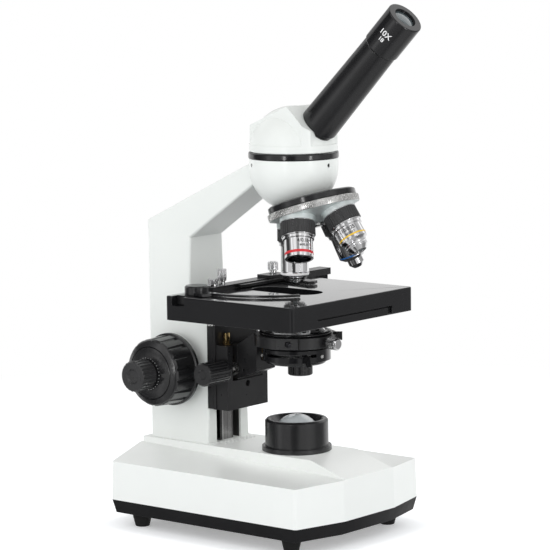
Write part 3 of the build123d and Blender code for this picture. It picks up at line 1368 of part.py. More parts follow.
def sprung_barrel(turned, length):
    """The fixed barrel of an objective with a sprung nose."""
    turn(objective_plane(turned), shoulder(nose_bore_radius - 2) + [
        (length - 2.4, barrel_radius), (length, step_radius), (length, nose_bore_radius),
        (length - 14, nose_bore_radius), (length - 14, nose_bore_radius - 2),
    ])


def sprung_nose(turned, start, length, tip):
    """The sliding nose: a hollow shank and a cone to the tip."""
    first = start - 14 + nose_gap
    turn(objective_plane(turned), [
        (first, nose_shank_radius - 2.6), (first, nose_shank_radius), (length - 3, nose_shank_radius),
        (length - 0.6, tip), (length, tip - 0.6), (length, 0), (length - 4, 0),
        (length - 6, nose_shank_radius - 2.6),
    ])


barrel_40 = parfocal - 8.0
barrel_100 = parfocal - 6.4
with BuildPart() as objective_40x_barrel:
    sprung_barrel(90, barrel_40)
objective_40x_barrel.part.label = "objective_40x_barrel"
export_step(objective_40x_barrel.part, "parts/objective_40x_barrel.step")

with BuildPart() as objective_40x_nose:
    sprung_nose(90, barrel_40, parfocal - 0.5, 3.8)
objective_40x_nose.part.label = "objective_40x_nose"
export_step(objective_40x_nose.part, "parts/objective_40x_nose.step")

with BuildPart() as objective_100x_barrel:
    sprung_barrel(0, barrel_100)
objective_100x_barrel.part.label = "objective_100x_barrel"
export_step(objective_100x_barrel.part, "parts/objective_100x_barrel.step")

with BuildPart() as objective_100x_nose:
    sprung_nose(0, barrel_100, parfocal, 3.2)
objective_100x_nose.part.label = "objective_100x_nose"
export_step(objective_100x_nose.part, "parts/objective_100x_nose.step")
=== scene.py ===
# %% [markdown]
# A monocular laboratory microscope, dressed for a studio picture.
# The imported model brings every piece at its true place, in metres, so this lesson
# only adds what a drawing office leaves out: paint, plating, knurls, rings and marks.

# %% Load the frame and measure it
import json
from math import atan2, cos, pi, radians, sin

import bmesh
import bpy
from mathutils import Matrix, Vector

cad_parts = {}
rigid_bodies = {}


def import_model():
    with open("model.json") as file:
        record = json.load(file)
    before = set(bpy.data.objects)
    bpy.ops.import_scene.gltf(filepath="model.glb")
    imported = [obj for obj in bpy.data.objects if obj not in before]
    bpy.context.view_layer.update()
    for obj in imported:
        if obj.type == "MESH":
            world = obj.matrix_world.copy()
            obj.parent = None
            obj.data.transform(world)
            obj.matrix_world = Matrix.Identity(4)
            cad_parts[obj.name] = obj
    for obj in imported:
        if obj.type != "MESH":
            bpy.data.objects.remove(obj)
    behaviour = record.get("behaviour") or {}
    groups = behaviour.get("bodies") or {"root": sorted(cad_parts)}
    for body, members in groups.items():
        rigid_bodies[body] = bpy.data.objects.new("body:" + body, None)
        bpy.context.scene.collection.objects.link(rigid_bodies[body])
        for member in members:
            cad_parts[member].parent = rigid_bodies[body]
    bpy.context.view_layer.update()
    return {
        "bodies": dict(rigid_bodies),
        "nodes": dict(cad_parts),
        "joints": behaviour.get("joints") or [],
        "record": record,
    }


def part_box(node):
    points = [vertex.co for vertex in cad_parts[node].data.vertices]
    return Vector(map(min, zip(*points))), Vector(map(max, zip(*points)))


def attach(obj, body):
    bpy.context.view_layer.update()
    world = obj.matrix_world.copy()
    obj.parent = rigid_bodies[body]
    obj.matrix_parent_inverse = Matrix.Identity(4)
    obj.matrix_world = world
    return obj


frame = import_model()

nodes = frame["nodes"]
MM = 0.001
lamp_low, lamp_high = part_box("lamp_housing")
axis_x = (lamp_low.x + lamp_high.x) / 2
axis_y = (lamp_low.y + lamp_high.y) / 2
print("optical axis", round(axis_x, 4), round(axis_y, 4))


def at(x, y, z):
    """A place in millimetres from the optical axis and the table, in the shared frame."""
    return Vector((axis_x + x * MM, axis_y + y * MM, z * MM))


def around(compass):
    """A level direction at a compass angle, in degrees from +x."""
    return Vector((cos(radians(compass)), sin(radians(compass)), 0))


# %% [markdown]
# The camera. Straight edges of the base, stage and tube were used to find where the
# picture was taken from: nearly two metres away, a little above the stage, with a long lens.
# A long lens keeps the tube and the base in one scale, so the lens is set by its view, not by taste.

# %% Camera
# The place and the sensor are in millimetres, and how far the camera sees is in metres.
CAMERA_PLACE = (-1571.4, -1280.8, 461.2)
CAMERA_TURN = radians(50.396)
CAMERA_PITCH = radians(7.483)
CAMERA_ROLL = radians(-0.7246)
LENS_PIXELS = 2734.3
PICTURE_PIXELS = 550
SENSOR = 36.0
SEEN_TO = 20

looking = Vector((sin(CAMERA_TURN) * cos(CAMERA_PITCH),
                  cos(CAMERA_TURN) * cos(CAMERA_PITCH),
                  -sin(CAMERA_PITCH)))
level_right = Vector((cos(CAMERA_TURN), -sin(CAMERA_TURN), 0))
level_up = level_right.cross(looking)
right = level_right * cos(CAMERA_ROLL) + level_up * sin(CAMERA_ROLL)
up = level_up * cos(CAMERA_ROLL) - level_right * sin(CAMERA_ROLL)

camera = bpy.data.objects.new("camera", bpy.data.cameras.new("camera"))
bpy.context.scene.collection.objects.link(camera)
camera.data.sensor_width = SENSOR
camera.data.lens = LENS_PIXELS * SENSOR / PICTURE_PIXELS
camera.data.clip_end = SEEN_TO
turn = Matrix((right, up, -looking)).transposed()
camera.matrix_world = Matrix.Translation(at(*CAMERA_PLACE)) @ turn.to_4x4()
bpy.context.scene.camera = camera
bpy.context.scene.view_settings.view_transform = "Standard"
print("lens", round(camera.data.lens, 1), "mm")

# %% [markdown]
# Light. A white tent lights a microscope from everywhere, and a few soft boxes give it form.
# Bright metal needs something dark to reflect as well, or it looks like paper, so mirrors see a
# tent of their own, with soft dark gaps at the sides and a dim table below. To the eye the tent
# is plain white. A picture of a room could be the world, but stops on two ramps are easier to move,
# so the tent is built from nodes, and a Light Path node tells which kind of ray is asking.

# %% Helpers for nodes
WHITE = (1, 1, 1, 1)


def add(tree, kind, **settings):
    """One node, with its settings and the values of its unlinked sockets."""
    node = tree.nodes.new(kind)
    for key, value in settings.items():
        if key.startswith("in_"):
            node.inputs[int(key[3:])].default_value = value
        else:
            setattr(node, key, value)
    return node


def set_stops(ramp, stops):
    """Fill a ramp with grey stops, each a place from 0 to 1 and a brightness."""
    for index, (place, shade) in enumerate(stops):
        stop = ramp.elements[index] if index < 2 else ramp.elements.new(place)
        stop.position = place
        stop.color = (shade, shade, shade, 1)


# %% The tent that mirrors see
# Each stop is a compass angle of the tent, from the object, and how bright the tent is there.
TENT_STOPS = ((-180, 0.6), (-166, 0.6), (-160, 0.05), (-139, 0.05), (-132, 0.75), (-76, 0.7),
              (-66, 0.3), (-30, 0.3), (-16, 1.05), (93, 1.05), (102, 0.1), (130, 0.1),
              (138, 0.36), (144, 0.36), (150, 1.0), (156, 1.0), (163, 0.6), (180, 0.6))
# Each of these is a height, as the upward part of a direction: floor, white wall, gap, roof.
WALL_STOPS = ((-1.0, 0.5), (-0.6, 0.6), (-0.3, 0.9), (-0.15, 1.0), (0.125, 1.0), (0.165, 0.4),
              (0.28, 0.5), (0.42, 1.15), (1.0, 0.9))
TABLE_GLOW = 0.6
TABLE_FROM, TABLE_FULL = -0.78, -0.96

world = bpy.data.worlds.new("tent")
bpy.context.scene.world = world
world.use_nodes = True
tree = world.node_tree
tree.nodes.clear()
join = tree.links.new
direction = add(tree, "ShaderNodeTexCoord")
heading = add(tree, "ShaderNodeSeparateXYZ")
join(direction.outputs["Generated"], heading.inputs[0])

round_about = add(tree, "ShaderNodeTexGradient", gradient_type="RADIAL")
sides = add(tree, "ShaderNodeValToRGB")
set_stops(sides.color_ramp, [((compass + 180) / 360, shade) for compass, shade in TENT_STOPS])
join(direction.outputs["Generated"], round_about.inputs["Vector"])
join(round_about.outputs["Fac"], sides.inputs["Fac"])

tilt = add(tree, "ShaderNodeMapRange", in_1=-1.0, in_2=1.0)
wall = add(tree, "ShaderNodeValToRGB")
set_stops(wall.color_ramp, [((upward + 1) / 2, shade) for upward, shade in WALL_STOPS])
join(heading.outputs["Z"], tilt.inputs[0])
join(tilt.outputs[0], wall.inputs[0])

mirrored = add(tree, "ShaderNodeBackground")
join(sides.outputs["Color"], mirrored.inputs["Color"])
join(wall.outputs[0], mirrored.inputs["Strength"])
table = add(tree, "ShaderNodeBackground", in_0=WHITE, in_1=TABLE_GLOW)
downward = add(tree, "ShaderNodeMapRange", in_1=TABLE_FROM, in_2=TABLE_FULL)
by_table = add(tree, "ShaderNodeMixShader")
join(heading.outputs["Z"], downward.inputs[0])
join(downward.outputs[0], by_table.inputs["Fac"])
join(mirrored.outputs[0], by_table.inputs[1])
join(table.outputs[0], by_table.inputs[2])
print("tent with", len(TENT_STOPS), "stops round and", len(WALL_STOPS), "up")

# %% Light from all round, and white for the eye
AT_HORIZON, AT_ZENITH = 1.75, 0.55
ZENITH_FROM = 0.9

ambient = add(tree, "ShaderNodeBackground", in_0=WHITE)
height = add(tree, "ShaderNodeMapRange", in_1=0.0, in_2=ZENITH_FROM, in_3=AT_HORIZON, in_4=AT_ZENITH)
join(heading.outputs["Z"], height.inputs[0])
join(height.outputs[0], ambient.inputs["Strength"])

path = add(tree, "ShaderNodeLightPath")
by_gloss = add(tree, "ShaderNodeMixShader")
join(path.outputs["Is Glossy Ray"], by_gloss.inputs["Fac"])
join(ambient.outputs[0], by_gloss.inputs[1])
join(by_table.outputs[0], by_gloss.inputs[2])

seen = add(tree, "ShaderNodeBackground", in_0=WHITE, in_1=1.0)
straight = add(tree, "ShaderNodeMath", operation="MAXIMUM")
by_ray = add(tree, "ShaderNodeMixShader")
join(path.outputs["Is Camera Ray"], straight.inputs[0])
join(path.outputs["Is Transmission Ray"], straight.inputs[1])
join(straight.outputs[0], by_ray.inputs["Fac"])
join(by_gloss.outputs[0], by_ray.inputs[1])
join(seen.outputs[0], by_ray.inputs[2])
output = add(tree, "ShaderNodeOutputWorld")
join(by_ray.outputs[0], output.inputs["Surface"])
print("light", AT_HORIZON, "at the horizon and", AT_ZENITH, "overhead")

# %% [markdown]
# Soft boxes. The key hangs at the upper left, a weaker fill stands at the front right, and a low
# one brightens the left walls. Two tall narrow strips are there for mirrors alone: they draw the
# streaks on plating and enamel. The stage would throw too deep a shade on the deck below it, so a
# small box overhead is linked to the base and its lamp alone, and shines past the rest.
# A glowing mesh could be a soft box too, but an area light can be hidden from mirrors, or linked.

# %% Soft boxes
def soft_box(name, place, aim, size, watts):
    """An area light of a width and a height in metres that looks at a point."""
    lamp = bpy.data.lights.new(name, "AREA")
    lamp.shape = "RECTANGLE"
    lamp.size, lamp.size_y = size
    lamp.energy = watts
    holder = bpy.data.objects.new(name, lamp)
    bpy.context.scene.collection.objects.link(holder)
    holder.location = place
    holder.rotation_euler = (aim - place).to_track_quat("-Z", "Y").to_euler()
    return holder


middle = at(0, 40, 180)
soft_box("key", at(-1100, -500, 1300), middle, size=(1.8, 1.8), watts=3)
soft_box("fill", at(700, -1300, 700), middle, size=(1.6, 1.6), watts=1.5)
low_box = soft_box("low", at(-1200, -100, 500), at(0, 0, 80), size=(1.2, 1.2), watts=0.9)
low_box.visible_glossy = False
print("three soft boxes")

# %% Strips for mirrors, and a box for the deck
STRIPS = {"strip_left": -164, "strip_right": -97}
STRIP_SIZE = (0.18, 0.88)
STRIP_WATTS = 4.0
STRIP_DISTANCE = 2
DECK_BOX_SIZE = (0.06, 0.06)
DECK_BOX_WATTS = 0.015
DECK_BOX_SPREAD = radians(9)

strip_middle = at(0, 0, 460)
for name, compass in STRIPS.items():
    strip_place = strip_middle + around(compass) * STRIP_DISTANCE
    soft_box(name, strip_place, strip_middle, STRIP_SIZE, STRIP_WATTS).visible_diffuse = False
overhead = soft_box("overhead", at(15, 15, 1100), at(15, 15, 60), DECK_BOX_SIZE, DECK_BOX_WATTS)
overhead.visible_glossy = False
overhead.data.spread = DECK_BOX_SPREAD
under_stage = bpy.data.collections.new("under_stage")
for name in ("base_casing", "lamp_housing"):
    under_stage.objects.link(nodes[name])
overhead.light_linking.receiver_collection = under_stage
overhead.light_linking.blocker_collection = under_stage

# %% [markdown]
# The floor is a sheet of white paper. A studio bends it up behind the object and lights it with
# lamps of its own, but that light would spill on the object. One flat face does it here: close to the
# tray it keeps the shade of the object, from there it soon glows to the eye, and further off it is as
# white as the tent. Mirrors look through it, at the dim table of their own tent.

# %% Floor
FLOOR_HALF = 6.0
floor_mesh = bpy.data.meshes.new("floor")
floor_corners = [(-FLOOR_HALF, -FLOOR_HALF, 0), (FLOOR_HALF, -FLOOR_HALF, 0),
                 (FLOOR_HALF, FLOOR_HALF, 0), (-FLOOR_HALF, FLOOR_HALF, 0)]
floor_mesh.from_pydata(floor_corners, [], [(0, 1, 2, 3)])
floor = bpy.data.objects.new("floor", floor_mesh)
bpy.context.scene.collection.objects.link(floor)
print("floor", 2 * FLOOR_HALF, "m wide")

# %% Paper: how far a place is from the tray and from the middle
PAPER_GLOW = 0.45
SHADE_FROM, SHADE_REACH = -0.002, 0.018
WHITE_FROM, WHITE_FULL = 0.3, 0.75

paper = bpy.data.materials.new("paper")
paper.use_nodes = True
floor_mesh.materials.append(paper)
tree = paper.node_tree
tree.nodes.clear()
join = tree.links.new
place = add(tree, "ShaderNodeTexCoord")
tray_low, tray_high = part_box("base_tray")
from_middle = add(tree, "ShaderNodeVectorMath", operation="SUBTRACT", in_1=(tray_low + tray_high) / 2)
either_side = add(tree, "ShaderNodeVectorMath", operation="ABSOLUTE")
beyond = add(tree, "ShaderNodeVectorMath", operation="SUBTRACT", in_1=(tray_high - tray_low) / 2)
outside = add(tree, "ShaderNodeVectorMath", operation="MAXIMUM", in_1=(0, 0, 0))
clear_of = add(tree, "ShaderNodeVectorMath", operation="LENGTH")
shade = add(tree, "ShaderNodeMapRange", interpolation_type="SMOOTHSTEP",
            in_1=SHADE_FROM, in_2=SHADE_REACH, in_4=PAPER_GLOW)
join(place.outputs["Object"], from_middle.inputs[0])
join(from_middle.outputs[0], either_side.inputs[0])
join(either_side.outputs[0], beyond.inputs[0])
join(beyond.outputs[0], outside.inputs[0])
join(outside.outputs[0], clear_of.inputs[0])
join(clear_of.outputs["Value"], shade.inputs[0])

reach = add(tree, "ShaderNodeVectorMath", operation="LENGTH")
far = add(tree, "ShaderNodeMapRange", in_1=WHITE_FROM, in_2=WHITE_FULL)
join(place.outputs["Object"], reach.inputs[0])
join(reach.outputs["Value"], far.inputs[0])
print("paper white from", WHITE_FULL, "m")

# %% Paper: what each ray gets
PAPER_COLOUR = (0.9, 0.92, 0.94, 1)

path = add(tree, "ShaderNodeLightPath")
matt = add(tree, "ShaderNodeBsdfDiffuse", in_0=PAPER_COLOUR)
strength = add(tree, "ShaderNodeMath", operation="MULTIPLY")
glow = add(tree, "ShaderNodeEmission", in_0=WHITE)
lit = add(tree, "ShaderNodeAddShader")
join(path.outputs["Is Camera Ray"], strength.inputs[0])
join(shade.outputs[0], strength.inputs[1])
join(strength.outputs[0], glow.inputs["Strength"])
join(matt.outputs[0], lit.inputs[0])
join(glow.outputs[0], lit.inputs[1])

white = add(tree, "ShaderNodeEmission", in_0=WHITE, in_1=1.0)
far_seen = add(tree, "ShaderNodeMath", operation="MULTIPLY")
faded = add(tree, "ShaderNodeMixShader")
join(far.outputs[0], far_seen.inputs[0])
join(path.outputs["Is Camera Ray"], far_seen.inputs[1])
join(far_seen.outputs[0], faded.inputs["Fac"])
join(lit.outputs[0], faded.inputs[1])
join(white.outputs[0], faded.inputs[2])

clear = add(tree, "ShaderNodeBsdfTransparent")
by_gloss = add(tree, "ShaderNodeMixShader")
join(path.outputs["Is Glossy Ray"], by_gloss.inputs["Fac"])
join(faded.outputs[0], by_gloss.inputs[1])
join(clear.outputs[0], by_gloss.inputs[2])
output = add(tree, "ShaderNodeOutputMaterial")
join(by_gloss.outputs[0], output.inputs["Surface"])
print(paper.name, "with", len(tree.nodes), "nodes")

# %% [markdown]
# Finishes. Each one starts from a plain shader and gets what the eye reads as that material:
# a slow change of tone, a change of gloss from handling, and a fine relief such as the orange
# peel of stove enamel or the grain of a moulding. Pictures of real surfaces could be laid on, but
# noise worked out from Object coordinates has no seam and stays on the piece when it moves.

# %% A helper for finishes
NOISE_LOW, NOISE_HIGH = 0.3, 0.7
SMOOTHEST = 0.02


def finish(name, colour, roughness, tone=0.04, tone_size=40, gloss=0.05, gloss_size=120,
           relief=0.05, relief_size=900, relief_depth=0.00005, stretch=(1, 1, 1), **sockets):
    """A shader with noise in its tone, gloss and relief. Sizes are noise scales per metre."""
    material = bpy.data.materials.new(name)
    material.use_nodes = True
    tree = material.node_tree
    shader = tree.nodes["Principled BSDF"]
    for key, value in sockets.items():
        shader.inputs[key.replace("_", " ")].default_value = value
    coords = add(tree, "ShaderNodeTexCoord")
    mapping = add(tree, "ShaderNodeMapping")
    mapping.inputs["Scale"].default_value = stretch
    tree.links.new(coords.outputs["Object"], mapping.inputs["Vector"])

    def noise(size, detail):
        texture = add(tree, "ShaderNodeTexNoise")
        texture.inputs["Scale"].default_value = size
        texture.inputs["Detail"].default_value = detail
        tree.links.new(mapping.outputs["Vector"], texture.inputs["Vector"])
        return texture.outputs["Fac"]

    tones = add(tree, "ShaderNodeValToRGB")
    darkest, lightest = tones.color_ramp.elements
    darkest.position = NOISE_LOW
    lightest.position = NOISE_HIGH
    darkest.color = (*[c * (1 - tone) for c in colour], 1)
    lightest.color = (*[min(1, c * (1 + tone)) for c in colour], 1)
    tree.links.new(noise(tone_size, 3), tones.inputs["Fac"])
    tree.links.new(tones.outputs["Color"], shader.inputs["Base Color"])
    glosses = add(tree, "ShaderNodeMapRange")
    glosses.inputs["From Min"].default_value = NOISE_LOW
    glosses.inputs["From Max"].default_value = NOISE_HIGH
    glosses.inputs["To Min"].default_value = max(SMOOTHEST, roughness - gloss)
    glosses.inputs["To Max"].default_value = min(1, roughness + gloss)
    tree.links.new(noise(gloss_size, 4), glosses.inputs["Value"])
    tree.links.new(glosses.outputs["Result"], shader.inputs["Roughness"])
    bump = add(tree, "ShaderNodeBump")
    bump.inputs["Strength"].default_value = relief
    bump.inputs["Distance"].default_value = relief_depth
    tree.links.new(noise(relief_size, 2), bump.inputs["Height"])
    tree.links.new(bump.outputs["Normal"], shader.inputs["Normal"])
    return material


# %% Paint
def stove_paint(name, colour, roughness):
    """A pale baked paint with a thin clear coat."""
    return finish(name, colour, roughness, tone=0.006, gloss=0.012, relief=0.02, relief_size=1400,
                  Coat_Weight=0.2, Coat_Roughness=0.15)


# The arm, base and head wear one white paint. The base's copy is made lighter, painted light against the
# shade it sits in, and the head's copy darker, painted shade against the light that falls on it.
white_paint = stove_paint("white_paint", (0.82, 0.845, 0.82), 0.34)
base_white_painted_lighter = stove_paint("base_white_painted_lighter", (0.85, 0.87, 0.85), 0.34)
head_white_painted_darker = stove_paint("head_white_painted_darker", (0.785, 0.81, 0.785), 0.36)
stage_enamel = finish("stage_enamel", (0.009, 0.009, 0.01), 0.11, tone=0.08, gloss=0.015, relief=0.015,
                      relief_size=800, IOR=1.34, Coat_Weight=1.0, Coat_IOR=1.2, Coat_Roughness=0.05)
black_enamel = finish("black_enamel", (0.018, 0.018, 0.019), 0.3, tone=0.1, gloss=0.03, relief=0.06,
                      relief_size=1100, IOR=1.46)
satin_black = finish("satin_black", (0.01, 0.01, 0.011), 0.24, tone=0.1, gloss=0.03, relief=0.04,
                     relief_size=1500, IOR=1.57)
gloss_black = finish("gloss_black", (0.01, 0.01, 0.011), 0.14, tone=0.1, gloss=0.03, relief=0.02,
                     relief_size=1500, IOR=1.58)
print("paint done")

# %% Plastic and rubber
knob_plastic = finish("knob_plastic", (0.015, 0.015, 0.016), 0.22, tone=0.1, gloss=0.025, relief=0.05,
                      relief_size=2200, IOR=1.64)
collar_black = finish("collar_black", (0.032, 0.032, 0.033), 0.3, tone=0.12, gloss=0.05, relief=0.15,
                      relief_size=2200, IOR=1.58)
tray_plastic = finish("tray_plastic", (0.012, 0.012, 0.013), 0.42, tone=0.15, gloss=0.05, relief=0.3,
                      relief_size=2500, IOR=1.3)
foot_rubber = finish("foot_rubber", (0.009, 0.009, 0.009), 0.7, tone=0.2, gloss=0.08, relief=0.5,
                     relief_size=2500, IOR=1.4)
print("plastic and rubber done")

# %% Metals
chrome = finish("chrome", (0.82, 0.82, 0.83), 0.09, tone=0.02, gloss=0.03, relief=0.02,
                relief_size=600, Metallic=1.0)
rail_steel = finish("rail_steel", (0.56, 0.555, 0.55), 0.2, tone=0.08, tone_size=60, gloss=0.08,
                    relief=0.25, relief_size=900, stretch=(1, 1, 0.04), Metallic=1.0)
screw_steel = finish("screw_steel", (0.64, 0.64, 0.63), 0.26, tone=0.06, gloss=0.06, relief=0.1,
                     Metallic=1.0)
turret_metal = finish("turret_metal", (0.72, 0.77, 0.765), 0.42, tone=0.05, gloss=0.06, relief=0.12,
                      relief_size=1600, Metallic=0.7)
blue_steel = finish("blue_steel", (0.05, 0.05, 0.055), 0.3, tone=0.1, gloss=0.06, relief=0.1, Metallic=1.0)
brass = finish("brass", (0.72, 0.52, 0.23), 0.26, tone=0.08, gloss=0.08, relief=0.15, Metallic=1.0)
print("metals done")

# %% [markdown]
# Painted light and shade on the slideway. The ground rail is darkened in bands across its width, a painted
# reflection with painted shade at its edges. The column's slot behind it is darkened to near black, painted
# shade inside the white paint. Thin extra pieces could show that, but they would have to follow every edge.
# Grey bands along an Object axis, which a finish's colour is multiplied by, lie on the surface itself.

# %% Helpers for bands
def band_along(tree, part, low, high, stops):
    """Grey bands along one Object axis, between two places in metres."""
    coords = add(tree, "ShaderNodeTexCoord")
    parts = add(tree, "ShaderNodeSeparateXYZ")
    span = add(tree, "ShaderNodeMapRange", in_1=low, in_2=high)
    bands = add(tree, "ShaderNodeValToRGB")
    set_stops(bands.color_ramp, stops)
    tree.links.new(coords.outputs["Object"], parts.inputs[0])
    tree.links.new(parts.outputs[part], span.inputs[0])
    tree.links.new(span.outputs[0], bands.inputs[0])
    return bands.outputs[0]


def darken(material, kind, *bands):
    """Multiply a finish's colour by bands, of several by the lightest."""
    tree = material.node_tree
    base = tree.nodes["Principled BSDF"].inputs["Base Color"]
    colour = base.links[0].from_socket
    lightest = bands[0]
    for band in bands[1:]:
        lighter = add(tree, "ShaderNodeVectorMath", operation="MAXIMUM")
        tree.links.new(lightest, lighter.inputs[0])
        tree.links.new(band, lighter.inputs[1])
        lightest = lighter.outputs[0]
    times = add(tree, "ShaderNodeVectorMath", operation="MULTIPLY")
    tree.links.new(colour, times.inputs[0])
    tree.links.new(lightest, times.inputs[1])
    tree.links.new(times.outputs[0], base)
    print(material.name, "has", kind)


# %% Bands on the slideway
# Painted reflection and shade across the rail: full colour where it shines, dark bands at its shaded edges
# and dull strips.
RAIL_REFLECTION_AND_SHADE = ((0.0, 0.12), (0.14, 0.15), (0.17, 1.0), (0.22, 1.0), (0.26, 0.5), (0.5, 0.62),
              (0.56, 0.4), (0.62, 0.62), (0.85, 0.5), (0.9, 0.25), (1.0, 0.2))
rail_low, rail_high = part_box("guide_rail")
darken(rail_steel, "painted reflection and shade",
       band_along(rail_steel.node_tree, "X", rail_low.x, rail_high.x, RAIL_REFLECTION_AND_SHADE))

# The slot is painted near black: painted shade in the recess of the column behind the rail.
UNSHADED, SLOT_SHADE = 1.0, 0.04
SLOT_HALF = 0.0145
SLOT_ACROSS = ((0, UNSHADED), (0.249, UNSHADED), (0.251, SLOT_SHADE), (0.749, SLOT_SHADE), (0.751, UNSHADED))
INWARD_SPAN = 0.06
SLOT_INWARD = ((0, UNSHADED), (0.028, UNSHADED), (0.031, SLOT_SHADE), (0.65, SLOT_SHADE), (0.66, UNSHADED))
UPWARD_SPAN = 0.2
SLOT_UPWARD = ((0, SLOT_SHADE), (0.789, SLOT_SHADE), (0.791, UNSHADED))
COLUMN_FACE = 67.4
slot_middle = (rail_low.x + rail_high.x) / 2
column_face = at(0, COLUMN_FACE, 0).y
paint = white_paint.node_tree
across = band_along(paint, "X", slot_middle - 2 * SLOT_HALF, slot_middle + 2 * SLOT_HALF, SLOT_ACROSS)
inward = band_along(paint, "Y", column_face, column_face + INWARD_SPAN, SLOT_INWARD)
upward = band_along(paint, "Z", 0, UPWARD_SPAN, SLOT_UPWARD)
darken(white_paint, "painted shade in the slot", across, inward, upward)

# %% [markdown]
# Glass and marks. The lenses are coated glass, dark to look at, and the lamp's is frosted. All of it
# could be fully clear, but glass this small then shows little form, so part of the light stays on
# the surface. The rings and marks are thin enamel and ink, and need little more than a colour.

# %% Glass, enamel rings and marks
clear_glass = finish("clear_glass", (0.9, 0.95, 1.0), 0.03, tone=0.01, gloss=0.01, relief=0.0, IOR=1.5,
                     Transmission_Weight=0.9)
lamp_glass = finish("lamp_glass", (0.8, 0.85, 0.87), 0.22, tone=0.04, gloss=0.05, relief=0.3,
                    relief_size=1800, IOR=1.5, Transmission_Weight=0.35, Coat_Weight=0.6,
                    Coat_Roughness=0.05)
coated_glass = finish("coated_glass", (0.1, 0.13, 0.14), 0.05, tone=0.1, gloss=0.02, relief=0.0, IOR=1.6,
                      Transmission_Weight=0.3, Coat_Weight=0.8, Coat_Roughness=0.03)
ring_red = finish("ring_red", (0.62, 0.02, 0.03), 0.3, tone=0.05)
ring_yellow = finish("ring_yellow", (0.8, 0.5, 0.02), 0.3, tone=0.05)
ring_blue = finish("ring_blue", (0.02, 0.13, 0.4), 0.3, tone=0.05)
ring_white = finish("ring_white", (0.85, 0.85, 0.85), 0.3, tone=0.03)
mark_grey = finish("mark_grey", (0.3, 0.3, 0.3), 0.4, tone=0.05)
seam_grey = finish("seam_grey", (0.42, 0.43, 0.42), 0.5, tone=0.05)
mark_ink = finish("mark_ink", (0.02, 0.02, 0.02), 0.5, tone=0.2)
print("glass, rings and marks done")

# %% [markdown]
# Dressing the solids. A drawn edge is perfectly sharp, but a real one always has a small round
# that catches the light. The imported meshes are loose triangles, so each solid is welded, its flat
# faces are joined, and its edges are rolled by modifiers, with the solid itself left as it is.

# %% A helper that rounds the edges of a solid
WELD_WITHIN = 0.00001
FLAT_WITHIN = radians(0.6)
EDGE_FROM = radians(28)


def dress(names, material, roll=0.3):
    """Give solids a finish and a rolled edge, in millimetres."""
    for name in names.split():
        solid = nodes[name]
        mesh = solid.data
        if "custom_normal" in mesh.attributes:
            mesh.attributes.remove(mesh.attributes["custom_normal"])
        for face in mesh.polygons:
            face.use_smooth = True
        mesh.materials.clear()
        mesh.materials.append(material)
        weld = solid.modifiers.new("weld", "WELD")
        weld.merge_threshold = WELD_WITHIN
        flat = solid.modifiers.new("flat", "DECIMATE")
        flat.decimate_type = "DISSOLVE"
        flat.angle_limit = FLAT_WITHIN
        bevel = solid.modifiers.new("roll", "BEVEL")
        bevel.limit_method = "ANGLE"
        bevel.angle_limit = EDGE_FROM
        bevel.width = roll * MM
        bevel.segments = 2
        bevel.harden_normals = True
        weighted = solid.modifiers.new("normals", "WEIGHTED_NORMAL")
        weighted.keep_sharp = True
    print(material.name, "on", names)


# %% Dress each solid
dress("arm", white_paint, 0.7)
dress("base_casing", base_white_painted_lighter, 0.7)
dress("head_housing", head_white_painted_darker, 0.5)
dress("base_tray", tray_plastic, 0.5)
dress("rubber_feet", foot_rubber, 0.5)
dress("stage_plate", stage_enamel, 0.6)
dress("stage_bracket stage_bed condenser_carrier focus_slide drive_hanger", black_enamel, 0.4)
dress("holder_bar slide_jaw slide_clip", satin_black, 0.3)
dress("lamp_housing eyepiece_tube", satin_black, 0.3)
dress("iris_housing", stage_enamel, 0.35)
dress("head_ring nosepiece_base eyepiece_barrel", gloss_black, 0.35)
dress("coarse_knob_left coarse_knob_right", knob_plastic, 0.3)
dress("fine_knob_left fine_knob_right", collar_black, 0.3)
dress("condenser_knob x_knob y_knob", knob_plastic, 0.25)
dress("lamp_socket switch_bezel power_rocker power_inlet", knob_plastic, 0.3)
dress("objective_collars", collar_black, 0.2)
dress("objective_4x_barrel objective_10x_barrel objective_40x_barrel objective_100x_barrel", chrome, 0.2)
dress("objective_40x_nose objective_100x_nose condenser_body holder_screws clamp_screw", chrome, 0.2)
dress("guide_rail", rail_steel, 0.3)
dress("foot_screws stage_screws nosepiece_pivot coarse_shaft fine_shaft condenser_shaft", screw_steel, 0.15)
dress("grub_screws", blue_steel, 0.15)
dress("click_stop iris_lever", satin_black, 0.2)
dress("nosepiece_turret", turret_metal, 0.3)
dress("shaft_bushes condenser_rack", brass, 0.15)
dress("condenser_lens objective_lenses eye_lens", coated_glass, 0.1)
dress("head_prism lamp_bulb", clear_glass, 0.15)
dress("lamp_lens", lamp_glass, 0.2)

# %% [markdown]
# Knurls. A hand grip is cut with a straight knurl: the same small rib again and again round a
# cylinder. Modelling each rib would be slow to change, so one Geometry Nodes tree places a rounded
# bar on every point of a circle. Its inputs are the sizes a machinist would ask for.

# %% Helpers for trees
def new_tree(name, **inputs):
    """A Geometry Nodes tree with inputs of these kinds and a finish, and the nodes at its two ends."""
    tree = bpy.data.node_groups.new(name, "GeometryNodeTree")
    tree.interface.new_socket("Geometry", in_out="OUTPUT", socket_type="NodeSocketGeometry")
    for title, kind in {**inputs, "Finish": "Material"}.items():
        tree.interface.new_socket(title, in_out="INPUT", socket_type="NodeSocket" + kind)
    return tree, add(tree, "NodeGroupInput"), add(tree, "NodeGroupOutput")


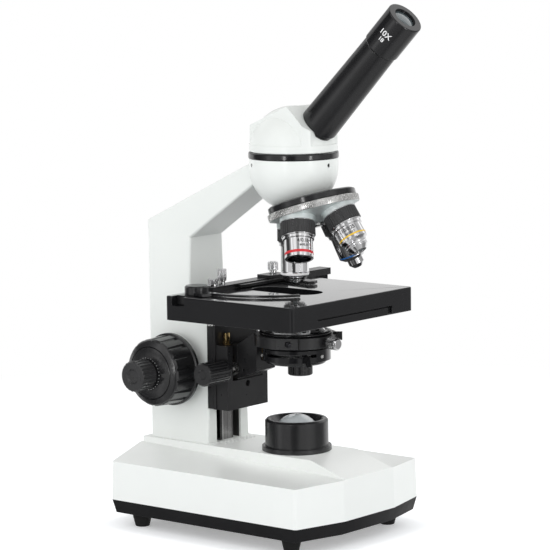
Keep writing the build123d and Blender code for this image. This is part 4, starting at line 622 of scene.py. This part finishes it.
def stand_on(tree, points, shape, given, result):
    """End a tree: the shape on every point, made real and coated. Returns the node that stands it."""
    stand = add(tree, "GeometryNodeInstanceOnPoints")
    real = add(tree, "GeometryNodeRealizeInstances")
    coat = add(tree, "GeometryNodeSetMaterial")
    tree.links.new(points, stand.inputs["Points"])
    tree.links.new(shape, stand.inputs["Instance"])
    tree.links.new(stand.outputs["Instances"], real.inputs["Geometry"])
    tree.links.new(real.outputs["Geometry"], coat.inputs["Geometry"])
    tree.links.new(given.outputs["Finish"], coat.inputs["Material"])
    tree.links.new(coat.outputs["Geometry"], result.inputs["Geometry"])
    return stand


# %% Tree: ribs round a ring
RIB_POINTS = 7
RIB_SIDES = 8
RIB_END = 0.35
RIB_SHOULDERS = (0.12, 0.88)


def rib_tree():
    """A node tree that stands rounded ribs on a circle, along z."""
    tree, given, result = new_tree("ribs_round_a_ring", Count="Int", Radius="Float", Length="Float",
                                   Thickness="Float")
    join = tree.links.new
    line = add(tree, "GeometryNodeCurvePrimitiveLine")
    top = add(tree, "ShaderNodeCombineXYZ")
    points = add(tree, "GeometryNodeResampleCurve")
    points.inputs["Count"].default_value = RIB_POINTS
    join(given.outputs["Length"], top.inputs["Z"])
    join(top.outputs["Vector"], line.inputs["End"])
    join(line.outputs["Curve"], points.inputs["Curve"])

    along_rib = add(tree, "GeometryNodeSplineParameter")
    round_ends = add(tree, "ShaderNodeFloatCurve")
    curve = round_ends.mapping.curves[0]
    curve.points[0].location = (0, RIB_END)
    curve.points[1].location = (1, RIB_END)
    for place in RIB_SHOULDERS:
        curve.points.new(place, 1.0)
    round_ends.mapping.update()
    widths = add(tree, "GeometryNodeSetCurveRadius")
    join(points.outputs["Curve"], widths.inputs["Curve"])
    join(along_rib.outputs["Factor"], round_ends.inputs["Value"])
    join(round_ends.outputs["Value"], widths.inputs["Radius"])

    half = add(tree, "ShaderNodeMath", operation="MULTIPLY", in_1=0.5)
    section = add(tree, "GeometryNodeCurvePrimitiveCircle")
    section.inputs["Resolution"].default_value = RIB_SIDES
    rib = add(tree, "GeometryNodeCurveToMesh")
    rib.inputs["Fill Caps"].default_value = True
    join(given.outputs["Thickness"], half.inputs[0])
    join(half.outputs["Value"], section.inputs["Radius"])
    join(widths.outputs["Curve"], rib.inputs["Curve"])
    join(section.outputs["Curve"], rib.inputs["Profile Curve"])

    circle = add(tree, "GeometryNodeMeshCircle")
    join(given.outputs["Count"], circle.inputs["Vertices"])
    join(given.outputs["Radius"], circle.inputs["Radius"])
    stand_on(tree, circle.outputs["Mesh"], rib.outputs["Mesh"], given, result)
    return tree


ribs = rib_tree()
print(ribs.name, "with", len(ribs.nodes), "nodes")

# %% Helpers: a frame on an axis, and a tree made a plain mesh
def on_axis(place, direction):
    """A matrix that stands the z axis on a place, along a direction."""
    return Matrix.Translation(place) @ direction.to_track_quat("Z", "Y").to_matrix().to_4x4()


def grown(tree, points=None, **sizes):
    """The mesh that a tree gives for these inputs, on a mesh of points if it takes one."""
    holder = bpy.data.objects.new("holder", points or bpy.data.meshes.new("holder"))
    bpy.context.scene.collection.objects.link(holder)
    modifier = holder.modifiers.new("tree", "NODES")
    modifier.node_group = tree
    for item in tree.interface.items_tree:
        if item.in_out == "INPUT" and item.name in sizes:
            modifier[item.identifier] = sizes[item.name]
    bpy.context.view_layer.update()
    shown = holder.evaluated_get(bpy.context.evaluated_depsgraph_get())
    mesh = bpy.data.meshes.new_from_object(shown)
    holder.modifiers.remove(modifier)
    bpy.data.objects.remove(holder)
    return mesh


# %% Helpers: a piece that rides on a body, and a turned mesh
TURNED_STEPS = 96
WELD_TURNED = 1e-7


def piece(name, body, meshes, material):
    """One object from placed meshes, riding on a body."""
    shape = bmesh.new()
    for mesh, place in meshes:
        mesh.transform(place)
        shape.from_mesh(mesh)
    whole = bpy.data.meshes.new(name)
    shape.to_mesh(whole)
    shape.free()
    for face in whole.polygons:
        face.use_smooth = True
        face.material_index = 0
    whole.materials.append(material)
    made = bpy.data.objects.new(name, whole)
    bpy.context.scene.collection.objects.link(made)
    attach(made, body)
    print(name, len(whole.polygons), "faces on", body)


def lathe(outline, steps=TURNED_STEPS):
    """A turned mesh from (radius, height) points in millimetres, closed into a ring."""
    shape = bmesh.new()
    edge = [shape.verts.new((r * MM, 0, h * MM)) for r, h in outline]
    loop = [shape.edges.new((a, b)) for a, b in zip(edge, edge[1:] + edge[:1])]
    bmesh.ops.spin(shape, geom=edge + loop, axis=(0, 0, 1), cent=(0, 0, 0), angle=2 * pi, steps=steps)
    bmesh.ops.remove_doubles(shape, verts=shape.verts, dist=WELD_TURNED)
    bmesh.ops.recalc_face_normals(shape, faces=shape.faces)
    mesh = bpy.data.meshes.new("turned")
    shape.to_mesh(mesh)
    shape.free()
    return mesh


# %% [markdown]
# The objectives. Each one screws into the turret by a black ribbed collar between two chrome rims,
# and carries a thin ring of enamel in the colour that laboratories use for its power. Rims and rings
# are turned, so each is an outline spun round an axis, which is easier to change than a stack of
# cylinders. The axes all meet in one point of the tilted turret axis, so a single rule gives every
# place on them.

# %% Where the objectives point
APEX = at(0, 0, 305)
TILT = radians(17.5)
SHOULDER = 74.5
BARREL = 10.6
SEATS = {"100x": 0, "40x": 90, "10x": 180, "4x": 270}
turret_down = Vector((0, -sin(TILT), -cos(TILT)))
turret_back = Vector((0, cos(TILT), -sin(TILT)))
turret_right = Vector((1, 0, 0))


def objective_frame(power, distance=0):
    """A frame on an objective's axis, a distance in millimetres below its shoulder."""
    turned = radians(SEATS[power])
    sideways = turret_back * cos(turned) + turret_right * sin(turned)
    axis = turret_down * cos(TILT) + sideways * sin(TILT)
    return on_axis(APEX + axis * (SHOULDER + distance) * MM, axis)


turret_frame = on_axis(APEX, turret_down)
print("objectives at", SEATS)

# %% Collar ribs and rims, turret knurl
collar_ribs = [(grown(ribs, Count=40, Radius=0.01235, Length=0.0094, Thickness=0.0011, Finish=collar_black),
                objective_frame(power, 0.5)) for power in SEATS]
piece("collar_ribs", "nosepiece", collar_ribs, collar_black)
UPPER_RIM = ((11.5, 0.05), (12.7, 0.05), (12.95, 0.2), (12.95, 0.5), (11.5, 0.5))
LOWER_RIM = ((10.4, 10.42), (12.3, 10.42), (12.3, 10.9), (11.5, 11.6), (10.4, 11.6))
collar_rims = [(lathe(rim), objective_frame(power)) for power in SEATS for rim in (UPPER_RIM, LOWER_RIM)]
piece("collar_rims", "nosepiece", collar_rims, chrome)
band = lathe(((33.5, 59.2), (34.3, 59.2), (34.45, 59.45), (34.45, 64.0), (34.3, 64.3), (33.5, 64.3)))
band_ribs = grown(ribs, Count=150, Radius=0.0343, Length=0.0044, Thickness=0.0007, Finish=screw_steel)
band_ribs_frame = turret_frame @ Matrix.Translation((0, 0, 0.0595))
piece("turret_knurl", "nosepiece",
      [(band, turret_frame), (band_ribs, band_ribs_frame)], screw_steel)

# %% Enamel rings and ends of the barrels
ENAMEL = 0.07
ENAMEL_ROOT = 0.3
ENAMEL_ROUND = (0.05, 0.08)


def enamel(power, low, high):
    """A thin enamel ring round a barrel, between two distances below its shoulder."""
    root, skin = BARREL - ENAMEL_ROOT, BARREL + ENAMEL
    inward, along = ENAMEL_ROUND
    ring = lathe(((root, low), (skin - inward, low), (skin, low + along), (skin, high - along),
                  (skin - inward, high), (root, high)))
    return ring, objective_frame(power)


piece("ring_4x", "nosepiece", [enamel("4x", low=23.2, high=25.2)], ring_red)
piece("ring_10x", "nosepiece", [enamel("10x", low=20.9, high=22.1)], ring_yellow)
piece("ring_40x", "nosepiece", [enamel("40x", low=29.4, high=30.6)], ring_blue)
piece("ring_100x", "nosepiece", [enamel("100x", low=33.4, high=35.1)], ring_white)
# The longest barrel ends in a cone round its sprung nose, and the 10x in a row of steps.
cone = lathe(((9.9, 32.2), (10.62, 32.4), (10.62, 35.5), (10.2, 36.0), (9.0, 36.9), (9.0, 37.7), (8.7, 38.0),
              (7.7, 38.6), (7.7, 39.3), (7.4, 39.6), (6.5, 39.6), (6.5, 36.0), (8.0, 34.6)))
steps = lathe(((7.6, 26.2), (8.5, 26.2), (8.5, 27.3), (8.1, 27.5), (8.1, 28.2), (8.35, 28.4),
               (8.35, 29.3), (7.6, 29.6)))
piece("barrel_ends", "nosepiece",
      [(cone, objective_frame("100x")), (steps, objective_frame("10x"))], chrome)

# %% [markdown]
# The seam. The head is moulded in two parts that meet in a fine dark line above its foot. A boolean
# could cut it, but the solid is left as it is, so a thin grey hoop that stands a hair out of the
# surface draws it.

# %% Seam round the head
SEAM_LOW, SEAM_HIGH = 5.55, 5.8
SEAM_IN, SEAM_OUT = 32.4, 33.02
SEAM_STEPS = 128
OPTICAL_AXIS = Matrix.Translation(at(0, 0, 0))
head_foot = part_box("head_housing")[0].z / MM
seam = lathe(((SEAM_IN, head_foot + SEAM_LOW), (SEAM_OUT, head_foot + SEAM_LOW),
              (SEAM_OUT, head_foot + SEAM_HIGH), (SEAM_IN, head_foot + SEAM_HIGH)), steps=SEAM_STEPS)
piece("head_seam", "head", [(seam, OPTICAL_AXIS)], seam_grey)

# %% [markdown]
# Thumb screws. The jaw, the two posts on the slide holder and the condenser's clamp are turned by
# finger and thumb, so their heads have a fine straight knurl. The same rib tree makes them:
# only the count and the sizes change. The ring of dots at the foot of each fine knob is also
# a row of ribs, so short that they are round.

# %% Knurls on the slide holder, a dark disc on the clip
UPWARD = Vector((0, 0, 1))
KNURL_SUNK = 0.12
KNURL_SHARE = 4.71
BAR_LINE = 54
bar_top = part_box("holder_bar")[1].z / MM
jaw_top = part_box("slide_jaw")[1].z / MM


def knurl(place, direction, radius, length, count):
    """A chrome band of fine ribs round an axis, from a place along a direction, in millimetres."""
    band = grown(ribs, Count=count, Radius=(radius - KNURL_SUNK) * MM, Length=length * MM,
                 Thickness=KNURL_SHARE * radius / count * MM, Finish=chrome)
    return band, on_axis(place, direction)


piece("holder_knurls", "holder", [
    knurl(at(39.5, BAR_LINE, jaw_top + 2.8), UPWARD, radius=3.9, length=5.6, count=26),
    knurl(at(-21, BAR_LINE, bar_top + 3.4), UPWARD, radius=3.4, length=7.6, count=24),
    knurl(at(-31.5, BAR_LINE, bar_top + 0.4), UPWARD, radius=3.8, length=4.2, count=26)], chrome)
# A thin dark disc on top of the clip's pivot is painted shade that stands for a dimple there.
CLIP_PIVOT = (-54, 50.6)
clip_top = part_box("slide_clip")[1].z / MM
clip_dimple_shade = lathe(((0.2, clip_top - 0.3), (1.7, clip_top - 0.3), (1.7, clip_top - 0.03),
                  (0.2, clip_top - 0.03)), steps=32)
piece("clip_dimple_shade", "clip", [(clip_dimple_shade, Matrix.Translation(at(*CLIP_PIVOT, 0)))], blue_steel)

# %% Knurl on the clamp, dots at the fine knobs
CLAMP_COMPASS = 265
CLAMP_HEIGHT = 146.7
CLAMP_REACH = 35.4
clamp_way = around(CLAMP_COMPASS)
clamp_head = at(0, 0, CLAMP_HEIGHT) + clamp_way * CLAMP_REACH * MM
piece("clamp_knurl", "clamp",
      [knurl(clamp_head, clamp_way, radius=4.4, length=7.4, count=28)], chrome)
KNOB_AXIS = (96.5, 118.7)
DOTS_OUT = 0.3
coarse_face = (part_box("coarse_knob_right")[1].x - axis_x) / MM
dots = [(grown(ribs, Count=30, Radius=0.0121, Length=0.0007, Thickness=0.0006, Finish=mark_grey),
         on_axis(at(side * (coarse_face + DOTS_OUT), *KNOB_AXIS), Vector((side, 0, 0)))) for side in (-1, 1)]
piece("fine_dots", "fine_drive", dots, mark_grey)

# %% [markdown]
# Small slotted screws. They hold the iris drum and close the clamp ring. A second tree makes
# one: a low cylinder with a bar cut out of it by a boolean, stood on every point it is given and
# turned to that point's own direction, which travels with the point as an attribute.

# %% Tree: slotted screws on points
SCREW_SIDES = 28
SCREW_LIFT = 0.3
SLOT_LENGTH = 4.0


def screw_tree():
    """A node tree that stands slotted screw heads on points, each along its own direction."""
    tree, given, result = new_tree("slotted_screws", Points="Geometry", Radius="Float", Height="Float",
                                   Slot="Float")
    join = tree.links.new
    head = add(tree, "GeometryNodeMeshCylinder")
    head.inputs["Vertices"].default_value = SCREW_SIDES
    share = add(tree, "ShaderNodeMath", operation="MULTIPLY", in_1=SCREW_LIFT)
    lift = add(tree, "ShaderNodeCombineXYZ")
    raised = add(tree, "GeometryNodeTransform")
    join(given.outputs["Radius"], head.inputs["Radius"])
    join(given.outputs["Height"], head.inputs["Depth"])
    join(given.outputs["Height"], share.inputs[0])
    join(share.outputs["Value"], lift.inputs["Z"])
    join(head.outputs["Mesh"], raised.inputs["Geometry"])
    join(lift.outputs["Vector"], raised.inputs["Translation"])

    wide = add(tree, "ShaderNodeMath", operation="MULTIPLY", in_1=SLOT_LENGTH)
    bar_size = add(tree, "ShaderNodeCombineXYZ")
    bar = add(tree, "GeometryNodeMeshCube")
    top = add(tree, "ShaderNodeCombineXYZ")
    high = add(tree, "GeometryNodeTransform")
    join(given.outputs["Radius"], wide.inputs[0])
    join(wide.outputs["Value"], bar_size.inputs["X"])
    join(given.outputs["Slot"], bar_size.inputs["Y"])
    join(given.outputs["Height"], bar_size.inputs["Z"])
    join(bar_size.outputs["Vector"], bar.inputs["Size"])
    join(bar.outputs["Mesh"], high.inputs["Geometry"])
    join(given.outputs["Height"], top.inputs["Z"])
    join(top.outputs["Vector"], high.inputs["Translation"])

    cut = add(tree, "GeometryNodeMeshBoolean", operation="DIFFERENCE")
    join(raised.outputs["Geometry"], cut.inputs["Mesh 1"])
    join(high.outputs["Geometry"], cut.inputs["Mesh 2"])
    way = add(tree, "GeometryNodeInputNamedAttribute", data_type="FLOAT_VECTOR")
    way.inputs["Name"].default_value = "direction"
    turned = add(tree, "FunctionNodeAlignRotationToVector", axis="Z")
    join(way.outputs["Attribute"], turned.inputs["Vector"])
    stand = stand_on(tree, given.outputs["Points"], cut.outputs["Mesh"], given, result)
    join(turned.outputs["Rotation"], stand.inputs["Rotation"])
    return tree


screws = screw_tree()
print(screws.name, "with", len(screws.nodes), "nodes")

# %% Screws on the condenser
def screw_points(height, reach, compasses):
    """A mesh of bare points round the optical axis, each with the direction its screw looks."""
    ways = [around(compass) for compass in compasses]
    mesh = bpy.data.meshes.new("points")
    mesh.from_pydata([at(0, 0, height) + way * reach * MM for way in ways], [], [])
    directions = mesh.attributes.new("direction", "FLOAT_VECTOR", "POINT")
    for index, way in enumerate(ways):
        directions.data[index].vector = way
    return mesh


drum_screws = grown(screws, screw_points(height=135.8, reach=26.4, compasses=(266, 146, 26)),
                    Radius=0.0014, Height=0.0008, Slot=0.0004, Finish=screw_steel)
piece("drum_screws", "condenser", [(drum_screws, Matrix())], screw_steel)
ring_screw = grown(screws, screw_points(height=146.6, reach=29.7, compasses=(208,)),
                   Radius=0.0023, Height=0.0009, Slot=0.0006, Finish=blue_steel)
piece("ring_screw", "condenser", [(ring_screw, Matrix())], blue_steel)

# %% [markdown]
# Last trim of the optics. The condenser is plated only at its top: its neck and its flange are
# blackened. Bands in the chrome could show that, but turned hoops also give the blackened parts
# a gloss of their own. Its rack ends in a plain block above the last tooth, a cube with
# its edges rolled. The pale turned rim round the eye lens is a painted highlight on the lens's edge.

# %% Bands of the condenser and end of its rack
neck = lathe(((24.2, 140.95), (24.5, 140.95), (24.5, 142.45), (24.2, 142.45)))
flange = lathe(((26.8, 151.0), (27.06, 151.0), (27.06, 152.93), (22.2, 153.53), (22.2, 153.4), (26.8, 152.8)))
piece("condenser_bands", "condenser",
      [(neck, OPTICAL_AXIS), (flange, OPTICAL_AXIS)], satin_black)


def block(low, high, roll):
    """A box between two corners, its edges rolled by some millimetres."""
    shape = bmesh.new()
    sized = Matrix.Translation((low + high) / 2) @ Matrix.Diagonal((*(high - low), 1))
    bmesh.ops.create_cube(shape, size=1, matrix=sized)
    bmesh.ops.bevel(shape, geom=shape.edges[:], offset=roll * MM, segments=2, affect="EDGES", profile=0.5)
    mesh = bpy.data.meshes.new("block")
    shape.to_mesh(mesh)
    shape.free()
    return mesh


RACK_INSET = 0.0006
RACK_OVERLAP = 0.0005
RACK_TOP = 0.1479
rack_low, rack_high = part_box("condenser_rack")
rack_end = block(Vector((rack_low.x, rack_low.y + RACK_INSET, rack_high.z - RACK_OVERLAP)),
                 Vector((rack_high.x, rack_high.y - RACK_INSET, RACK_TOP)), roll=0.3)
piece("rack_end", "condenser", [(rack_end, Matrix())], brass)

# %% Painted highlight round the eye lens
EYEPIECE_LEAN = radians(45)
EYEPIECE_START = 283.5
eyepiece_frame = on_axis(at(0, 0, EYEPIECE_START), Vector((0, -sin(EYEPIECE_LEAN), cos(EYEPIECE_LEAN))))
# A thin white rim stands in for the glint on the edge of the eye lens: a painted highlight.
eye_lens_painted_highlight = lathe(((7.95, 145.3), (8.2, 145.25), (8.38, 145.35), (8.38, 145.6), (8.2, 145.7)))
piece("eye_lens_painted_highlight", "eyepiece", [(eye_lens_painted_highlight, eyepiece_frame)], ring_white)

# %% [markdown]
# Ribs on the deck. The moulding has a few rows of short raised ribs on its deck, at the foot of the
# column. Relief in the paint could draw them, but it would throw no shade. They are all alike and
# stand on a grid, so a third tree puts a flattened ball on each point of a grid, half sunk in
# the deck.

# %% Tree: flat balls on a grid
BALL_SEGMENTS, BALL_RINGS = 16, 8


def grid_tree():
    """A node tree that stands flattened balls on a level grid."""
    tree, given, result = new_tree("ribs_on_a_grid", Across="Int", Rows="Int", Width="Float",
                                   Depth="Float", Rib="Vector")
    join = tree.links.new
    grid = add(tree, "GeometryNodeMeshGrid")
    join(given.outputs["Across"], grid.inputs["Vertices X"])
    join(given.outputs["Rows"], grid.inputs["Vertices Y"])
    join(given.outputs["Width"], grid.inputs["Size X"])
    join(given.outputs["Depth"], grid.inputs["Size Y"])
    ball = add(tree, "GeometryNodeMeshUVSphere")
    ball.inputs["Segments"].default_value = BALL_SEGMENTS
    ball.inputs["Rings"].default_value = BALL_RINGS
    ball.inputs["Radius"].default_value = 0.5
    stand = stand_on(tree, grid.outputs["Mesh"], ball.outputs["Mesh"], given, result)
    join(given.outputs["Rib"], stand.inputs["Scale"])
    return tree


rows = grid_tree()
print(rows.name, "with", len(rows.nodes), "nodes")

# %% Ribs on the deck
DECK = 62.4
deck_ribs = grown(rows, Across=9, Rows=3, Width=0.034, Depth=0.008, Rib=(0.0026, 0.001, 0.0011),
                  Finish=base_white_painted_lighter)
piece("deck_ribs", "stand", [(deck_ribs, Matrix.Translation(at(1, 61, DECK)))], base_white_painted_lighter)

# %% [markdown]
# Figures. An objective carries its power and aperture as plain figures, filled with black, and the
# eyepiece its power and field in white. A picture of them would blur close by, so they are text.
# Text is flat, so it is made a mesh first and then bent round the barrel: its width becomes an
# angle, and its height stays along the axis.

# %% Helpers: figures bent round a barrel
FIGURE_DEPTH = 0.00012
FIGURE_WEIGHT = 0.00006


def figures(text, height):
    """Flat figures as a mesh, centred, in metres."""
    letters = bpy.data.curves.new("figures", "FONT")
    letters.body = text
    letters.size = height * MM
    letters.align_x = "CENTER"
    letters.extrude = FIGURE_DEPTH
    letters.offset = FIGURE_WEIGHT
    letters.resolution_u = 3
    holder = bpy.data.objects.new("figures", letters)
    bpy.context.scene.collection.objects.link(holder)
    bpy.context.view_layer.update()
    mesh = bpy.data.meshes.new_from_object(holder.evaluated_get(bpy.context.evaluated_depsgraph_get()))
    bpy.data.objects.remove(holder)
    return mesh


def wrapped(text, height, radius, middle, turned, upward=-1):
    """Figures bent round an axis at a distance along it, their tops towards -z, or +z."""
    mesh = figures(text, height)
    for vertex in mesh.vertices:
        angle = turned + upward * vertex.co.x / (radius * MM)
        reach = radius * MM + vertex.co.z
        vertex.co = Vector((reach * cos(angle), reach * sin(angle), middle * MM + upward * vertex.co.y))
    return mesh


def facing(frame):
    """The angle round a frame's axis of the side that looks at the viewer."""
    towards = frame.to_3x3().inverted() @ (camera.matrix_world.translation - frame.translation)
    return atan2(towards.y, towards.x)


# %% Figures on the objectives and the eyepiece
TUBE_AND_COVER = "160/0.17"
for power, power_and_aperture, shift in (("4x", "4/0.10", -0.35), ("10x", "10/0.25", 0.0),
                                         ("40x", "40/0.65", 0.0), ("100x", "100/1.25", 0.0)):
    barrel = objective_frame(power)
    side = facing(barrel) + shift
    piece("figures_" + power, "nosepiece",
          [(wrapped(power_and_aperture, height=3.8, radius=BARREL, middle=17.6, turned=side), barrel),
           (wrapped(TUBE_AND_COVER, height=2.3, radius=BARREL, middle=20.6, turned=side), barrel)], mark_ink)
EYEPIECE_RADIUS = 13.95
EYEPIECE_SHIFT = -0.28
eyepiece_side = facing(eyepiece_frame) + EYEPIECE_SHIFT
eyepiece_figures = [(wrapped(text, height, EYEPIECE_RADIUS, middle, eyepiece_side, upward=1), eyepiece_frame)
                    for text, height, middle in (("10X", 6.0, 132.3), ("18", 4.4, 127.6))]
piece("figures_eyepiece", "eyepiece", eyepiece_figures, ring_white)
